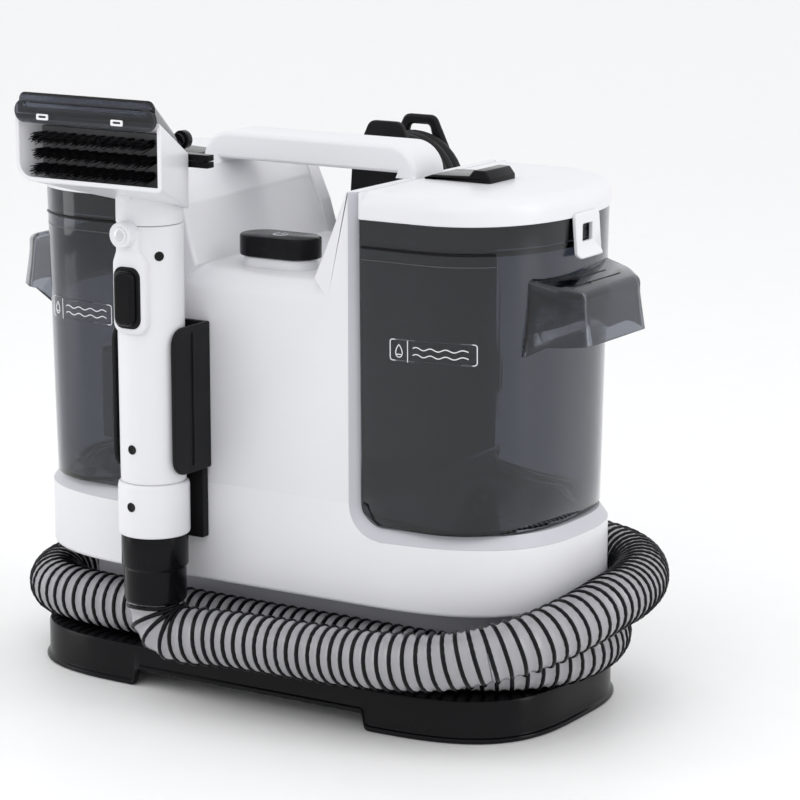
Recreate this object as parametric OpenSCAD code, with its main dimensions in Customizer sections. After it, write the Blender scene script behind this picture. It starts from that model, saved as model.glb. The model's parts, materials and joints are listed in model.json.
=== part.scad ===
// Portable carpet cleaner: a carry-handle tower between a clean and a dirty water tank,
// with a suction hose wound round its base, a hand wand in a holder and a cord winder.
// X runs along the machine, -Y is its front, +Z is up. Origin: centre of the base, on the floor.

/* [Base] */
// Half length of the base
base_half_length = 178; // [170:1:185]
// Half width of the base
base_half_width = 86; // [82:1:90]
// Height of the surface that the hose lies on
base_height = 25; // [22:1:28]
// Height of the raised edge between the feet
arch_height = 10; // [6:1:12]
// Wall of the plastic shells
wall = 2.5; // [2:0.1:3]

/* [Housing] */
// Half length of the white lower housing
housing_half_length = 180; // [176:1:184]
// Front and rear faces of the housing, measured from the middle
housing_half_width = 81; // [80:1:83]
// Underside of the white lower housing
housing_bottom = 72; // [68:1:74]
// Top edge of the white lower housing
housing_edge = 112; // [108:1:114]
// Height of the ledges that the tanks stand on
ledge_height = 119; // [117:1:121]
// Half width of the flat front of the tower
tower_half_width = 70.5; // [68:0.5:71]
// Outer face of the tower's side walls
bay_wall = 75.5; // [75:0.1:76]
// Top of the tower
tower_top = 312; // [308:1:316]
// Floor of the hand opening
alcove_floor = 260; // [256:1:264]

/* [Handle] */
// Top of the carry handle
handle_top = 331; // [328:1:336]
// Underside of the carry handle
handle_under = 314.5; // [314:0.5:317]
// Half depth of the carry handle, front to back
handle_half_depth = 17; // [14:1:20]

/* [Power button] */
// Centre of the power button, along the machine
button_x = 5; // [3:1:8]
// Centre of the power button, front to back
button_y = -52; // [-56:1:-48]
// Length of the power button
button_length = 52; // [46:1:56]
// Width of the power button
button_width = 28; // [24:1:30]
// How far the power button goes down
button_travel = 3; // [2:0.5:3]

/* [Tanks] */
// Inner flat face of each tank
tank_inner = 76.5; // [76.4:0.1:77]
// Rounded outer end of each tank
tank_end = 176; // [172:1:178]
// Half width of each tank, front to back
tank_half_width = 79.5; // [76:0.5:80]
// Top edge of the tank wall
tank_top = 297; // [294:1:298]
// Wall of the clear tanks
tank_wall = 2.2; // [2:0.1:2.4]
// Top of the tank lids
lid_top = 312.3; // [311:0.1:313]
// Outer end of the tank grips
grip_end = 198; // [192:1:202]
// Top of the grips where they meet the tank
grip_top = 266; // [262:1:268]

/* [Wand] */
// Axis of the wand, along the machine
wand_x = -48; // [-52:1:-44]
// Axis of the wand, front to back
wand_y = -108; // [-110:1:-107.6]
// Radius of the wand's grip tube
wand_r = 19.5; // [19:0.1:19.5]
// Bore of the wand
wand_bore = 15; // [12:0.5:15.5]
// Seam between the wand and the tool head
wand_top = 289; // [286:1:292]
// How far the trigger is pressed
trigger_travel = 4; // [3:0.5:4.5]

/* [Tool head] */
// Front edge of the tool head's mouth
mouth_front = -165; // [-168:1:-162]
// Half width of the mouth
mouth_half_width = 51; // [48:1:53]
// Lower lip of the mouth
mouth_low = 316.5; // [314:0.5:319]
// Upper lip of the mouth
mouth_high = 355; // [352:1:357]
// Number of bristle tufts in a row
tufts = 12; // [10:1:14]

/* [Hose and cord] */
// Radius of the suction hose
hose_r = 17.5; // [16:0.5:17.5]
// Radius of the power cord
cord_r = 4; // [3.5:0.1:4]
// Turns of cord side by side on the winder
cord_lanes = 4; // [3:1:4]
// Layers of cord on the winder
cord_layers = 3; // [2:1:3]
// Middle of the upper cord hook
hook_high = 287; // [285:1:288]
// Middle of the lower cord hook
hook_low = 157; // [157:1:165]

/* [Hidden] */

$fn = 64;
hull_fn = 32;          // facets of round pieces inside a hull
gap = 0.3;             // clearance between pieces that move apart
over = 1;              // how far cutters run past a face
end_steps = 14;        // straight pieces in a quarter of a rounded end

white = "white";
trim_grey = "lightgray";
black = [0.13, 0.13, 0.14];
smoke = [0.25, 0.27, 0.31, 0.6];

// ---- Plan outlines ----

// A quarter of a rounded end: from the side at (0, b) to the tip at (a, 0)
function quarter(a, b, power, steps = end_steps) =
    [for (i = [0:steps]) let (t = 90 - 90 * i / steps)
        [a * pow(cos(t), 2 / power), b * pow(max(sin(t), 0), 2 / power)]];

// The +X end of an outline whose straight sides stop at x = start
function right_end(start, tip, half, power) = let (q = quarter(tip - start, half, power))
    concat([for (p = q) [start + p[0], -p[1]]],
           [for (i = [end_steps - 1:-1:0]) [start + q[i][0], q[i][1]]]);

function oblong(start, tip, half, power) = let (e = right_end(start, tip, half, power))
    concat(e, [for (i = [len(e) - 1:-1:0]) [-e[i][0], e[i][1]]]);

base_shape = 3.2;      // squareness of the base's rounded ends
body_shape = 2.7;      // squareness of the housing's rounded ends
tank_shape = 2.3;      // squareness of the tank's rounded end
side_straight = 75;    // where the straight sides of the base and housing stop
tank_straight = 114;   // where the straight sides of the tanks stop

module base_outline(inset = 0)
    polygon(oblong(side_straight, base_half_length - inset, base_half_width - inset, base_shape));

module housing_outline(inset = 0)
    polygon(oblong(side_straight, housing_half_length - inset, housing_half_width - inset, body_shape));

groove_half_length = 160;
groove_half_width = 50;
groove_straight = 60;
module groove_outline(inset = 0)
    polygon(oblong(groove_straight, groove_half_length - inset, groove_half_width - inset, body_shape));

// A tank's plan, drawn in by an even inset; the flat side faces the tower
module tank_outline(inset = 0, flat = tank_inner)
    polygon(concat([[flat + inset, -tank_half_width + inset]],
                   right_end(tank_straight, tank_end - inset, tank_half_width - inset, tank_shape),
                   [[flat + inset, tank_half_width - inset]]));

module slab(z_low, z_high) translate([0, 0, z_low]) linear_extrude(z_high - z_low) children();

module box(low, high) translate(low) cube(high - low);

// Extrudes an X-Z drawing from y_front to y_back
module along_y(y_front, y_back)
    translate([0, y_back, 0]) rotate([90, 0, 0]) linear_extrude(y_back - y_front) children();

// Extrudes a Y-Z drawing from x_low to x_high
module along_x(x_low, x_high)
    translate([x_low, 0, 0]) rotate([90, 0, 90]) linear_extrude(x_high - x_low) children();

module rod_y(x, z, r, y_front, y_back)
    translate([x, y_back, z]) rotate([90, 0, 0]) cylinder(r = r, h = y_back - y_front);

module rod_x(y, z, r, x_low, x_high)
    translate([x_low, y, z]) rotate([0, 90, 0]) cylinder(r = r, h = x_high - x_low);

module tube(r_out, r_in, z_low, z_high) difference() {
    translate([0, 0, z_low]) cylinder(r = r_out, h = z_high - z_low);
    translate([0, 0, z_low - over]) cylinder(r = r_in, h = z_high - z_low + 2 * over);
}

module stadium(length, width) {
    square([length - width, width], center = true);
    for (side = [-1, 1]) translate([side * (length - width) / 2, 0]) circle(d = width);
}

// ---- Base ----

arch_left = -80;       // the raised edge runs between these two, front and back
arch_right = 84;
foot_x = 135;
foot_y = 52;
foot_r = 10;
lip = 1.5;             // flare round the bottom of the base
lip_height = 2;
pan_bottom = 1;        // the plastic clears the floor by this much
pan_floor = 10;        // underside of the pan's floor

module each_foot() for (x = [-foot_x, foot_x], y = [-foot_y, foot_y]) translate([x, y, 0]) children();

module base_pan() color(black) difference() {
    union() {
        difference() {
            union() {
                slab(pan_bottom, base_height - wall) base_outline();
                slab(pan_bottom, pan_bottom + lip_height) base_outline(-lip);
            }
            slab(pan_floor + wall, base_height) base_outline(wall);
            slab(0, pan_floor) base_outline(wall);
        }
        each_foot() translate([0, 0, 3]) cylinder(r = foot_r + wall, h = pan_floor - 3 + over);
    }
    box([arch_left, -2 * base_half_width, 0], [arch_right, 2 * base_half_width, arch_height]);
}

module hose_tray() color(black) difference() {
    slab(base_height - wall, base_height) base_outline();
    slab(base_height - wall - over, base_height + over) groove_outline(wall);
}

module rubber_feet() color(black) each_foot() cylinder(r = foot_r, h = 3);

module groove_wall() color(trim_grey) difference() {
    slab(base_height, housing_bottom) groove_outline();
    slab(base_height - over, housing_bottom + over) groove_outline(wall);
    rod_y(suction_x, inlet_z, suction_bore, 40, 60);
}

// ---- Housing ----

// Outline of the hand opening through the tower, seen from the front
function alcove_points() = [
    [-36, alcove_floor], [46, alcove_floor], [59, alcove_floor + 29], [68, tower_top],
    [68, tower_top + 20], [-62, tower_top + 20], [-62, tower_top],
    [-52, alcove_floor + 40], [-43, alcove_floor + 25]];

recess_half_width = 39;    // cord bay in the back of the tower
recess_low = 118;
recess_depth = 12;
recess_face = housing_half_width - recess_depth;

// Ring of the lower housing, one half of it: side is -1 at the front, 1 at the back
module lower_ring(side) intersection() {
    difference() {
        slab(housing_bottom, housing_edge) housing_outline();
        slab(housing_bottom + wall, housing_edge + over) housing_outline(wall);
        slab(housing_bottom - over, housing_edge) groove_outline(wall);
    }
    box([-200, side < 0 ? -100 : 0, 0], [200, side < 0 ? 0 : 100, 200]);
}

// A flat panel of the tower between two Y planes, with the hand opening cut out of its top
module tower_panel(y_front, y_back) difference() {
    box([-tower_half_width, y_front, housing_edge - over], [tower_half_width, y_back, tower_top]);
    along_y(y_front - over, y_back + over) polygon(alcove_points());
}

module front_housing() color(white) union() {
    lower_ring(-1);
    tower_panel(-housing_half_width, -housing_half_width + wall);
}

screw_x = 64;
screw_heights = [120, 245];

module rear_housing() color(white) difference() {
    union() {
        lower_ring(1);
        tower_panel(housing_half_width - wall, housing_half_width);
        box([-recess_half_width - wall, recess_face - wall, recess_low - wall],
            [recess_half_width + wall, housing_half_width, alcove_floor]);
    }
    box([-recess_half_width, recess_face, recess_low],
        [recess_half_width, housing_half_width + over, alcove_floor + over]);
    rod_y(relief_x, relief_z, relief_r + 0.05, recess_face, housing_half_width + over);
    for (x = [-screw_x, screw_x], z = screw_heights) rod_y(x, z, 1.6, recess_face, housing_half_width + over);
    box([grille_x - 22, 60, grille_z - 12], [grille_x + 22, 100, grille_z + 12]);
}

// Grey lining of a tank bay: side wall with bevelled corners, a ledge and its bevelled edge
module bay_liner() {
    w = tower_half_width;
    h = housing_half_width;
    bevel = bay_wall - w;
    corners = [[w, -h], [bay_wall, -h + bevel], [bay_wall, h - bevel], [w, h]];
    slab(housing_edge, tower_top) polygon(concat(corners, [
        [w, h - wall], [bay_wall - wall, h - bevel - over],
        [bay_wall - wall, bevel + over - h], [w, wall - h]]));
    slab(tower_top - wall, tower_top) polygon(corners);
    difference() {
        union() {
            slab(housing_edge, ledge_height) ledge_outline();
            slab(housing_edge, housing_edge + 2) rim_outline();
        }
        slab(housing_edge - over, ledge_height - wall) ledge_outline(wall);
    }
}

module ledge_outline(inset = 0)
    polygon(concat([[bay_wall, -tank_half_width + inset - 0.5]],
                   right_end(tank_straight - 2, tank_end + 2 - inset,
                             tank_half_width + 0.5 - inset, tank_shape),
                   [[bay_wall, tank_half_width - inset + 0.5]]));

module rim_outline() intersection() {
    housing_outline();
    translate([bay_wall, -100]) square([200, 200]);
}

module right_bay_liner() color(trim_grey) difference() {
    bay_liner();
    translate([valve_x, 0, ledge_height - 10]) cylinder(r = valve_r + 4, h = 20);
}

module left_bay_liner() color(trim_grey) difference() {
    mirror([1, 0, 0]) bay_liner();
    translate([pipe_x, pipe_y, ledge_height - 10]) cylinder(r = suction_r + 0.1, h = 20);
    translate([vent_x, 0, ledge_height - 10]) cylinder(r = duct_r + 0.1, h = 20);
}

module alcove_liner() color(white) {
    front = -housing_half_width + wall;
    side = tower_half_width;
    difference() {
        along_y(front, -front) intersection() {
            difference() {
                union() {
                    offset(delta = wall) polygon(alcove_points());
                    translate([-side, tower_top - wall]) square([2 * side, wall]);
                }
                polygon(alcove_points());
            }
            translate([-side, 0]) square([2 * side, tower_top]);
        }
        translate([button_x, button_y, alcove_floor - 10]) cylinder(r = stem_r + 1, h = 20);
        box([-recess_half_width - wall, recess_face - wall, alcove_floor - 2 * wall],
            [recess_half_width + wall, 100, alcove_floor + over]);
    }
}

handle_half_length = 75.3;
handle_corner = 18;
handle_leg = 14;

module carry_handle() color(white) along_y(-handle_half_depth, handle_half_depth) difference() {
    union() {
        for (side = [-1, 1])
            translate([side * (handle_half_length - handle_corner), handle_top - handle_corner])
            circle(r = handle_corner);
        translate([-handle_half_length, tower_top])
            square([2 * handle_half_length, handle_top - handle_corner - tower_top]);
        translate([-handle_half_length + handle_corner, tower_top])
            square([2 * (handle_half_length - handle_corner), handle_top - tower_top]);
    }
    translate([-handle_half_length + handle_leg, 0])
        square([2 * (handle_half_length - handle_leg), handle_under]);
    translate([-200, 0]) square([400, tower_top]);
}

module housing_screws() color("silver") for (x = [-screw_x, screw_x], z = screw_heights) {
    rod_y(x, z, 3.4, housing_half_width, housing_half_width + 1.6);
    rod_y(x, z, 1.5, housing_half_width - 10, housing_half_width);
}

// ---- Power button ----

stem_r = 4;
pedestal_top = 265.9;
cap_bottom = pedestal_top + 0.4;
cap_top = 278.7;
switch_top = 249;

module button_pedestal() color(white) translate([button_x, button_y, 0]) difference() {
    slab(alcove_floor, pedestal_top) stadium(button_length - 5, button_width - 5);
    translate([0, 0, alcove_floor - over]) cylinder(r = stem_r + 0.06, h = 10);
}

module power_button() color(black) translate([button_x, button_y, 0]) {
    difference() {
        slab(cap_bottom, cap_top) stadium(button_length, button_width);
        slab(cap_bottom - over, cap_top - 3) stadium(button_length - 4, button_width - 4);
    }
    translate([0, 0, switch_top + button_travel + over])
        cylinder(r = stem_r, h = cap_top - 2.5 - switch_top - button_travel - over);
}

module power_switch() color("dimgray") box(
    [button_x - 10, button_y - 8, switch_top - 18], [button_x + 10, button_y + 8, switch_top]);

module control_board() color("darkgreen") {
    box([-30, -74, 184], [40, -72.4, 234]);
    box([-20, -72.4, 192], [0, -60, 206]);
    box([10, -72.4, 206], [30, -62, 221]);
}

// ---- Motor, fan, pump and ducts, inside the tower ----

motor_x = 15;
motor_r = 31;
motor_low = 156;
fan_low = 124;
fan_r = 42;
shaft_r = 4;

module motor() color("dimgray") translate([motor_x, 0, 0]) difference() {
    union() {
        translate([0, 0, motor_low]) cylinder(r = motor_r, h = 52);
        translate([0, 0, motor_low + 52]) cylinder(r = 14, h = 10);
    }
    translate([0, 0, motor_low - over]) cylinder(r = shaft_r + 0.06, h = 46);
}

module motor_mount() color(black) translate([motor_x, 0, 0]) {
    tube(motor_r + 6, motor_r, motor_low + 8, motor_low + 40);
    box([-6, motor_r + 5, motor_low + 16], [6, recess_face - wall, motor_low + 22]);
    box([-6, wall - housing_half_width, motor_low + 16], [6, -motor_r - 5, motor_low + 22]);
}

module fan_housing() color("gray") translate([motor_x, 0, 0]) difference() {
    translate([0, 0, fan_low]) cylinder(r = fan_r, h = motor_low - fan_low);
    translate([0, 0, fan_low + wall]) cylinder(r = fan_r - wall, h = motor_low - fan_low - 2 * wall);
    translate([0, 0, fan_low - over]) cylinder(r = 15, h = 10);
    translate([0, 0, motor_low - 10]) cylinder(r = shaft_r + 1, h = 20);
}

module impeller() color("silver") translate([motor_x, 0, 0]) {
    translate([0, 0, fan_low + 6]) cylinder(r = 8, h = 20);
    translate([0, 0, fan_low + 20]) cylinder(r = fan_r - 6, h = 2);
    translate([0, 0, fan_low + 6]) cylinder(r = shaft_r, h = motor_low - fan_low + 36);
    for (i = [0:7]) rotate(45 * i) translate([7, -1, fan_low + 8]) cube([fan_r - 14, 2, 12.5]);
}

module water_pump() color("steelblue") {
    box([-58, -60, 84], [-30, -24, 110]);
    rod_y(-44, 97, 9, -74, -60);
    rod_y(-44, 97, 4, -24, -14);
}

duct_z = 95;
duct_r = 9;
vent_x = -95;          // where the dirty tank's air leaves it

// Bent pipe of straight runs and ball corners, following a list of points
module pipe(points, r) for (i = [0:len(points) - 2]) {
    a = points[i];
    run = points[i + 1] - a;
    translate(a) rotate([0, acos(run[2] / norm(run)), atan2(run[1], run[0])]) cylinder(r = r, h = norm(run));
    if (i > 0) translate(a) sphere(r = r);
}

// Air duct from under the dirty tank to the eye of the fan
module air_duct() color("gray") {
    route = [[vent_x, 0, ledge_height], [vent_x, 0, duct_z], [motor_x, 0, duct_z], [motor_x, 0, fan_low]];
    difference() {
        pipe(route, duct_r);
        pipe(route, duct_r - 2);
    }
}

suction_r = 12;
suction_bore = 10;
suction_x = 48;

// Pipe from the hose inlet to the standpipe of the dirty tank
module suction_pipe() color("gray") {
    route = [[suction_x, groove_half_width - wall, inlet_z], [suction_x, pipe_y, inlet_z],
             [pipe_x, pipe_y, inlet_z], [pipe_x, pipe_y, ledge_height]];
    difference() {
        pipe(route, suction_r);
        pipe(route, suction_bore);
    }
}

grille_x = 0;
grille_z = 94;

module exhaust_grille() color("dimgray") difference() {
    box([grille_x - 21.8, housing_half_width - 3, grille_z - 11.8],
        [grille_x + 21.8, housing_half_width + 0.8, grille_z + 11.8]);
    for (i = [-3:3]) translate([grille_x + 5.6 * i, 0, grille_z]) box([-1.4, 60, -9], [1.4, 100, 9]);
}

// ---- Wand holder ----

holder_low = 142;
holder_high = 229;
holder_front = -117;
holder_inner = 19.9;
holder_outer = 22.4;
holder_back = -housing_half_width - 3;
tongue_low = 99;

// Side view of a cheek: square at the back, rounded at the front
module cheek_profile() hull() {
    translate([holder_back, holder_low]) square([1, holder_high - holder_low]);
    for (z = [holder_low + 9, holder_high - 9]) translate([holder_front + 9, z]) circle(r = 9);
}

module wand_holder() color(black) {
    box([wand_x - holder_outer, holder_back, holder_low],
        [wand_x + holder_outer, -housing_half_width, holder_high]);
    for (side = [-1, 1]) along_x(wand_x + (side > 0 ? holder_inner : -holder_outer),
                                 wand_x + (side > 0 ? holder_outer : -holder_inner)) cheek_profile();
    difference() {
        for (z = [holder_low, holder_high - 2])
            box([wand_x - holder_inner, wand_y + 6, z], [wand_x + holder_inner, holder_back, z + 2]);
        translate([wand_x, wand_y, 0]) cylinder(r = wand_r + 0.5, h = 400);
    }
    difference() {
        box([wand_x - 20, -housing_half_width - 5.2, tongue_low],
            [wand_x + 20, -housing_half_width, holder_low]);
        for (side = [-1, 1])
            box([wand_x + 4 * side - 0.6, -90, tongue_low + 14],
                [wand_x + 4 * side + 0.6, -70, holder_low - 6]);
    }
}

// ---- Hose ----

inlet_y = 68;
inlet_z = 42.6;
inlet_x = 70;

// The hose's route: out of the wand, along the front, round the right end, along the back,
// round the left end, along the groove at the front and round to the inlet at the back
hose_route = [
    [-48, -108, 64.3], [-48, -108, 60], [-46, -108, 54], [-41, -108, 48], [-33, -107, 45], [-20, -106, 45],
    [0, -104, 46], [40, -103.5, 47], [80, -103.5, 48], [112, -102.5, 50], [141, -97, 52.5], [165, -85.5, 57.5],
    [184.5, -65.5, 63.5], [196.5, -38, 70], [200, -8, 74], [198.5, 20, 74.5], [191, 49.5, 75], [173, 78, 75],
    [147, 96, 75], [112, 103, 75], [70, 104, 74], [20, 104, 71], [-30, 104, 66], [-80, 103, 60],
    [-120, 98, 54], [-149, 86, 48.5], [-168, 66, 45.5], [-179, 42, 44.5], [-183, 14, 44], [-183, -14, 44],
    [-176, -38, 44], [-160, -57, 44], [-138, -66, 44], [-112, -69, 43.8], [-70, -68.5, 43.5], [-20, -68, 42.8],
    [40, -68, 42.8], [90, -68, 42.8], [122, -66, 42.8], [149, -55.5, 42.8], [168.5, -38, 42.8], [180, -12, 42.8],
    [180, 16, 42.8], [171, 41, 42.8], [153, 58, 42.8], [128, 67, 42.8], [100, 68, 42.8], [70, 68, 42.8]];

function unit(v) = v / norm(v);

// Side vectors carried along a path without twisting
function carried(path, i, v) = let (t = unit(path[min(i + 1, len(path) - 1)] - path[max(i - 1, 0)]))
    unit(v - (v * t) * t);
function side_vectors(path, first, i = 0, list = []) = i == len(path) ? list :
    let (v = carried(path, i, i == 0 ? first : list[i - 1]))
    side_vectors(path, first, i + 1, concat(list, [v]));

// A round tube swept along a path of points, closed at both ends
module sweep(path, r, sides, first) {
    n = len(path);
    u = side_vectors(path, first);
    rings = [for (i = [0:n - 1]) let (
        t = unit(path[min(i + 1, n - 1)] - path[max(i - 1, 0)]), w = cross(t, u[i]))
        [for (k = [0:sides - 1]) path[i] + r * (cos(360 * k / sides) * u[i] + sin(360 * k / sides) * w)]];
    polyhedron(
        points = [for (ring = rings, p = ring) p],
        faces = concat(
            [[for (k = [0:sides - 1]) k]],
            [for (i = [0:n - 2], k = [0:sides - 1]) let (a = i * sides + k, b = i * sides + (k + 1) % sides)
                [a, a + sides, b + sides, b]],
            [[for (k = [sides - 1:-1:0]) (n - 1) * sides + k]]));
}

module suction_hose() color("gray") sweep(hose_route, hose_r, 12, [1, 0, 0]);

// Socket on the back that the hose plugs into, joined to the groove wall
module hose_inlet() color(black) difference() {
    union() {
        rod_x(inlet_y, inlet_z, hose_r, inlet_x - 36, inlet_x);
        box([suction_x - 12, groove_half_width, inlet_z - 14], [suction_x + 12, inlet_y - 14, inlet_z + 14]);
    }
    rod_x(inlet_y, inlet_z, hose_r - 3, suction_x - 10, inlet_x + over);
    rod_y(suction_x, inlet_z, suction_bore, groove_half_width - over, inlet_y);
}

// ---- Cord winder, cord and plug ----

hook_r = 11.5;
winding_front = 77;
winding_back = winding_front + 2 * cord_r * cord_lanes;
winding_inner = hook_r + 0.5;
winding_outer = winding_inner + 2 * cord_r * cord_layers;
ear = 4.5;             // thickness of a hook's ears

// Open ear that keeps the cord on its hook; up is 1 or -1
module hook_ear(up, tall, y_front) along_y(y_front, y_front + ear) scale([1, up]) difference() {
    offset(r = 5) polygon([
        [-21, -6], [21, -6], [19, tall - 28], [8, tall - 5], [-8, tall - 5], [-19, tall - 28]]);
    offset(r = 3) polygon([[-11, 18], [11, 18], [7, tall - 11], [-7, tall - 11]]);
}

module cord_hook(z, up, tall) translate([0, 0, z]) {
    rod_y(0, 0, hook_r, recess_face, winding_back + 1);
    hook_ear(up, tall, recess_face);
    hook_ear(up, tall, winding_back + 0.5);
}

module upper_cord_hook() color(black) {
    cord_hook(hook_high, 1, 45);
    box([-14, recess_face, alcove_floor - 18], [14, recess_face + ear, hook_high]);
}

module lower_cord_hook() color(black) cord_hook(hook_low, -1, 38);

module cord_winding() color("dimgray") along_y(winding_front, winding_back) difference() {
    hull() for (z = [hook_low, hook_high]) translate([0, z]) circle(r = winding_outer);
    hull() for (z = [hook_low, hook_high]) translate([0, z]) circle(r = winding_inner);
}

relief_x = -52;
relief_z = 132;
relief_r = 6;
relief_tip = housing_half_width + 30;

module strain_relief() color(black) difference() {
    union() {
        rod_y(relief_x, relief_z, relief_r, housing_half_width - 5, housing_half_width);
        rod_y(relief_x, relief_z, relief_r + 2.5, housing_half_width, housing_half_width + 3);
        translate([relief_x, housing_half_width + 3, relief_z]) rotate([-90, 0, 0])
            cylinder(r1 = relief_r, r2 = cord_r + 1, h = relief_tip - housing_half_width - 3);
    }
    rod_y(relief_x, relief_z, cord_r, housing_half_width - 5, relief_tip + over);
}

plug_x = 56;
plug_y = 97;
plug_low = 166;

// The cord from its strain relief to the winding, and from the winding to the plug
lead_route = [
    [-52, 76, 132], [-52, 96, 132], [-52, 112, 132], [-52, 122, 134], [-52, 129, 140], [-51, 130, 150],
    [-49, 125, 160], [-47, 116, 168], [-45, 106, 175], [-43, 96, 183], [-41, 88, 193]];
plug_route = [
    [40.5, 105, 256], [40.5, 105, 248], [43, 104, 238], [48, 102, 229], [53, 99, 220],
    [56, 97, 211], [56, 97, 200]];

module cord_leads() color("dimgray") {
    sweep(lead_route, cord_r, 8, [1, 0, 0]);
    sweep(plug_route, cord_r, 8, [1, 0, 0]);
}

// Two-pin plug hanging from the last turn, pins down
module power_plug() color(black) translate([plug_x, plug_y, 0]) {
    translate([0, 0, plug_low]) cylinder(r = 12, h = 20);
    translate([0, 0, plug_low + 20]) cylinder(r1 = 9, r2 = 5, h = 14);
    for (side = [-1, 1]) translate([side * 6, 0, plug_low - 18]) cylinder(r = 2, h = 18 + over);
}

// ---- Tanks ----

valve_x = 112;
valve_r = 6;
lid_inset = tank_wall + 0.5;
skirt_low = 276;
seal_low = 280;
seal_high = 283;
tank_bottom = ledge_height + 0.5;

module grip_outline(inset = 0) polygon([
    [150, -50 + inset], [168, -48 + inset], [178, -44 + inset], [grip_end - 7, -34 + inset],
    [grip_end - 2 - inset, -30 + inset / 2], [grip_end - inset, -25],
    [grip_end - inset, 25], [grip_end - 2 - inset, 30 - inset / 2],
    [grip_end - 7, 34 - inset], [178, 44 - inset], [168, 48 - inset], [150, 50 - inset]]);

grip_low = 229;
grip_slope = 14;       // degrees that the top falls towards its outer end

// Open box that hangs from the tank wall, for the fingers to go up into
module grip() difference() {
    slab(grip_low, grip_top + 2) grip_outline();
    difference() {
        slab(grip_low - over, grip_top + 2) grip_outline(wall);
        translate([tank_end - 6, -100, grip_top - wall]) rotate([0, grip_slope, 0]) cube([60, 200, 20]);
    }
    translate([tank_end - 6, -100, grip_top]) rotate([0, grip_slope, 0]) cube([60, 200, 20]);
    slab(grip_low - 2 * over, grip_top + 10) tank_outline();
}

module tank_shell() difference() {
    slab(tank_bottom, tank_top) tank_outline();
    slab(tank_bottom + wall, tank_top + over) tank_outline(tank_wall);
    children();
}

module tank_lid() {
    difference() {
        hull() {
            slab(tank_top, tank_top + 4) tank_outline(-1, tank_inner + 1);
            slab(lid_top - 5, lid_top - 4) tank_outline(3, tank_inner - 3);
            slab(lid_top - over, lid_top) tank_outline(11, tank_inner - 11);
        }
        hull() {
            slab(tank_top - over, tank_top + 4) tank_outline(lid_inset + 2);
            slab(lid_top - 5, lid_top - 4) tank_outline(8, tank_inner - 4);
        }
    }
    difference() {
        slab(skirt_low, tank_top + over) tank_outline(lid_inset);
        slab(skirt_low - over, tank_top + 2 * over) tank_outline(lid_inset + 2);
        difference() {
            slab(seal_low, seal_high) tank_outline(0);
            slab(seal_low - over, seal_high + over) tank_outline(lid_inset + 1);
        }
    }
}

module tank_seal() difference() {
    slab(seal_low, seal_high) tank_outline(tank_wall + 0.1);
    slab(seal_low - over, seal_high + over) tank_outline(lid_inset + 1);
}

latch_inner = 77;
latch_outer = 124;
latch_half = 15;

// Sliding lock on the lid: a wedge plate with a raised ridge for the thumb
module lid_latch() along_y(-latch_half, latch_half) polygon([
    [latch_inner + 3, lid_top + gap], [latch_outer, lid_top + gap], [latch_outer, lid_top + 3],
    [latch_outer - 4, lid_top + 7.5], [latch_outer - 11, lid_top + 7.5], [latch_outer - 14, lid_top + 3.6],
    [latch_inner + 8, lid_top + 3], [latch_inner + 3, lid_top + 1.2]]);

clip_half = 14;
clip_x = tank_end + 1.3;
clip_thick = 2.4;
clip_low = 274;
clip_high = 299;       // axis that the clip flexes about

// Snap clip on the outer end of the lid, round at its root and flared at its foot
module lid_clip() difference() {
    union() {
        along_y(-clip_half, clip_half) polygon([
            [clip_x, clip_high], [clip_x, clip_low + 5], [clip_x + 4, clip_low], [clip_x + 6, clip_low + 0.8],
            [clip_x + clip_thick, clip_low + 6.5], [clip_x + clip_thick, clip_high]]);
        rod_y(clip_x + clip_thick / 2, clip_high, clip_thick / 2, -clip_half, clip_half);
    }
    box([tank_end - 5, -4.6, 283], [tank_end + 20, 4.6, 292.5]);
}

module clean_tank_shell() color(smoke) tank_shell()
    translate([valve_x, 0, tank_bottom - over]) cylinder(r = valve_r + 0.05, h = 10);
module clean_tank_grip() color(smoke) grip();
module clean_tank_lid() color(white) tank_lid();
module clean_tank_seal() color(black) tank_seal();
module clean_lid_latch() color(black) lid_latch();
module clean_lid_clip() color(white) lid_clip();

valve_travel = 3;       // how far the valve drops when the tank is lifted off

// Poppet that opens as the tank is set down
module clean_valve() color(black) translate([valve_x, 0, 0]) {
    translate([0, 0, tank_bottom - 2]) cylinder(r = valve_r, h = 12);
    translate([0, 0, tank_floor + valve_travel + gap]) cylinder(r = valve_r + 3, h = 3);
}

module dirty_tank_shell() color(smoke) mirror([1, 0, 0]) tank_shell() {
    translate([-pipe_x, pipe_y, tank_bottom - over]) cylinder(r = suction_bore, h = 10);
    translate([-vent_x, 0, tank_bottom - over]) cylinder(r = duct_r - 2, h = 10);
}
module dirty_tank_grip() color(smoke) mirror([1, 0, 0]) grip();
module dirty_tank_lid() color(white) mirror([1, 0, 0]) tank_lid();
module dirty_tank_seal() color(black) mirror([1, 0, 0]) tank_seal();
module dirty_lid_latch() color(black) mirror([1, 0, 0]) lid_latch();
module dirty_lid_clip() color(white) mirror([1, 0, 0]) lid_clip();

pipe_x = -104;
pipe_y = 30;
float_x = -132;
float_y = -14;
tank_floor = tank_bottom + wall;

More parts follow.
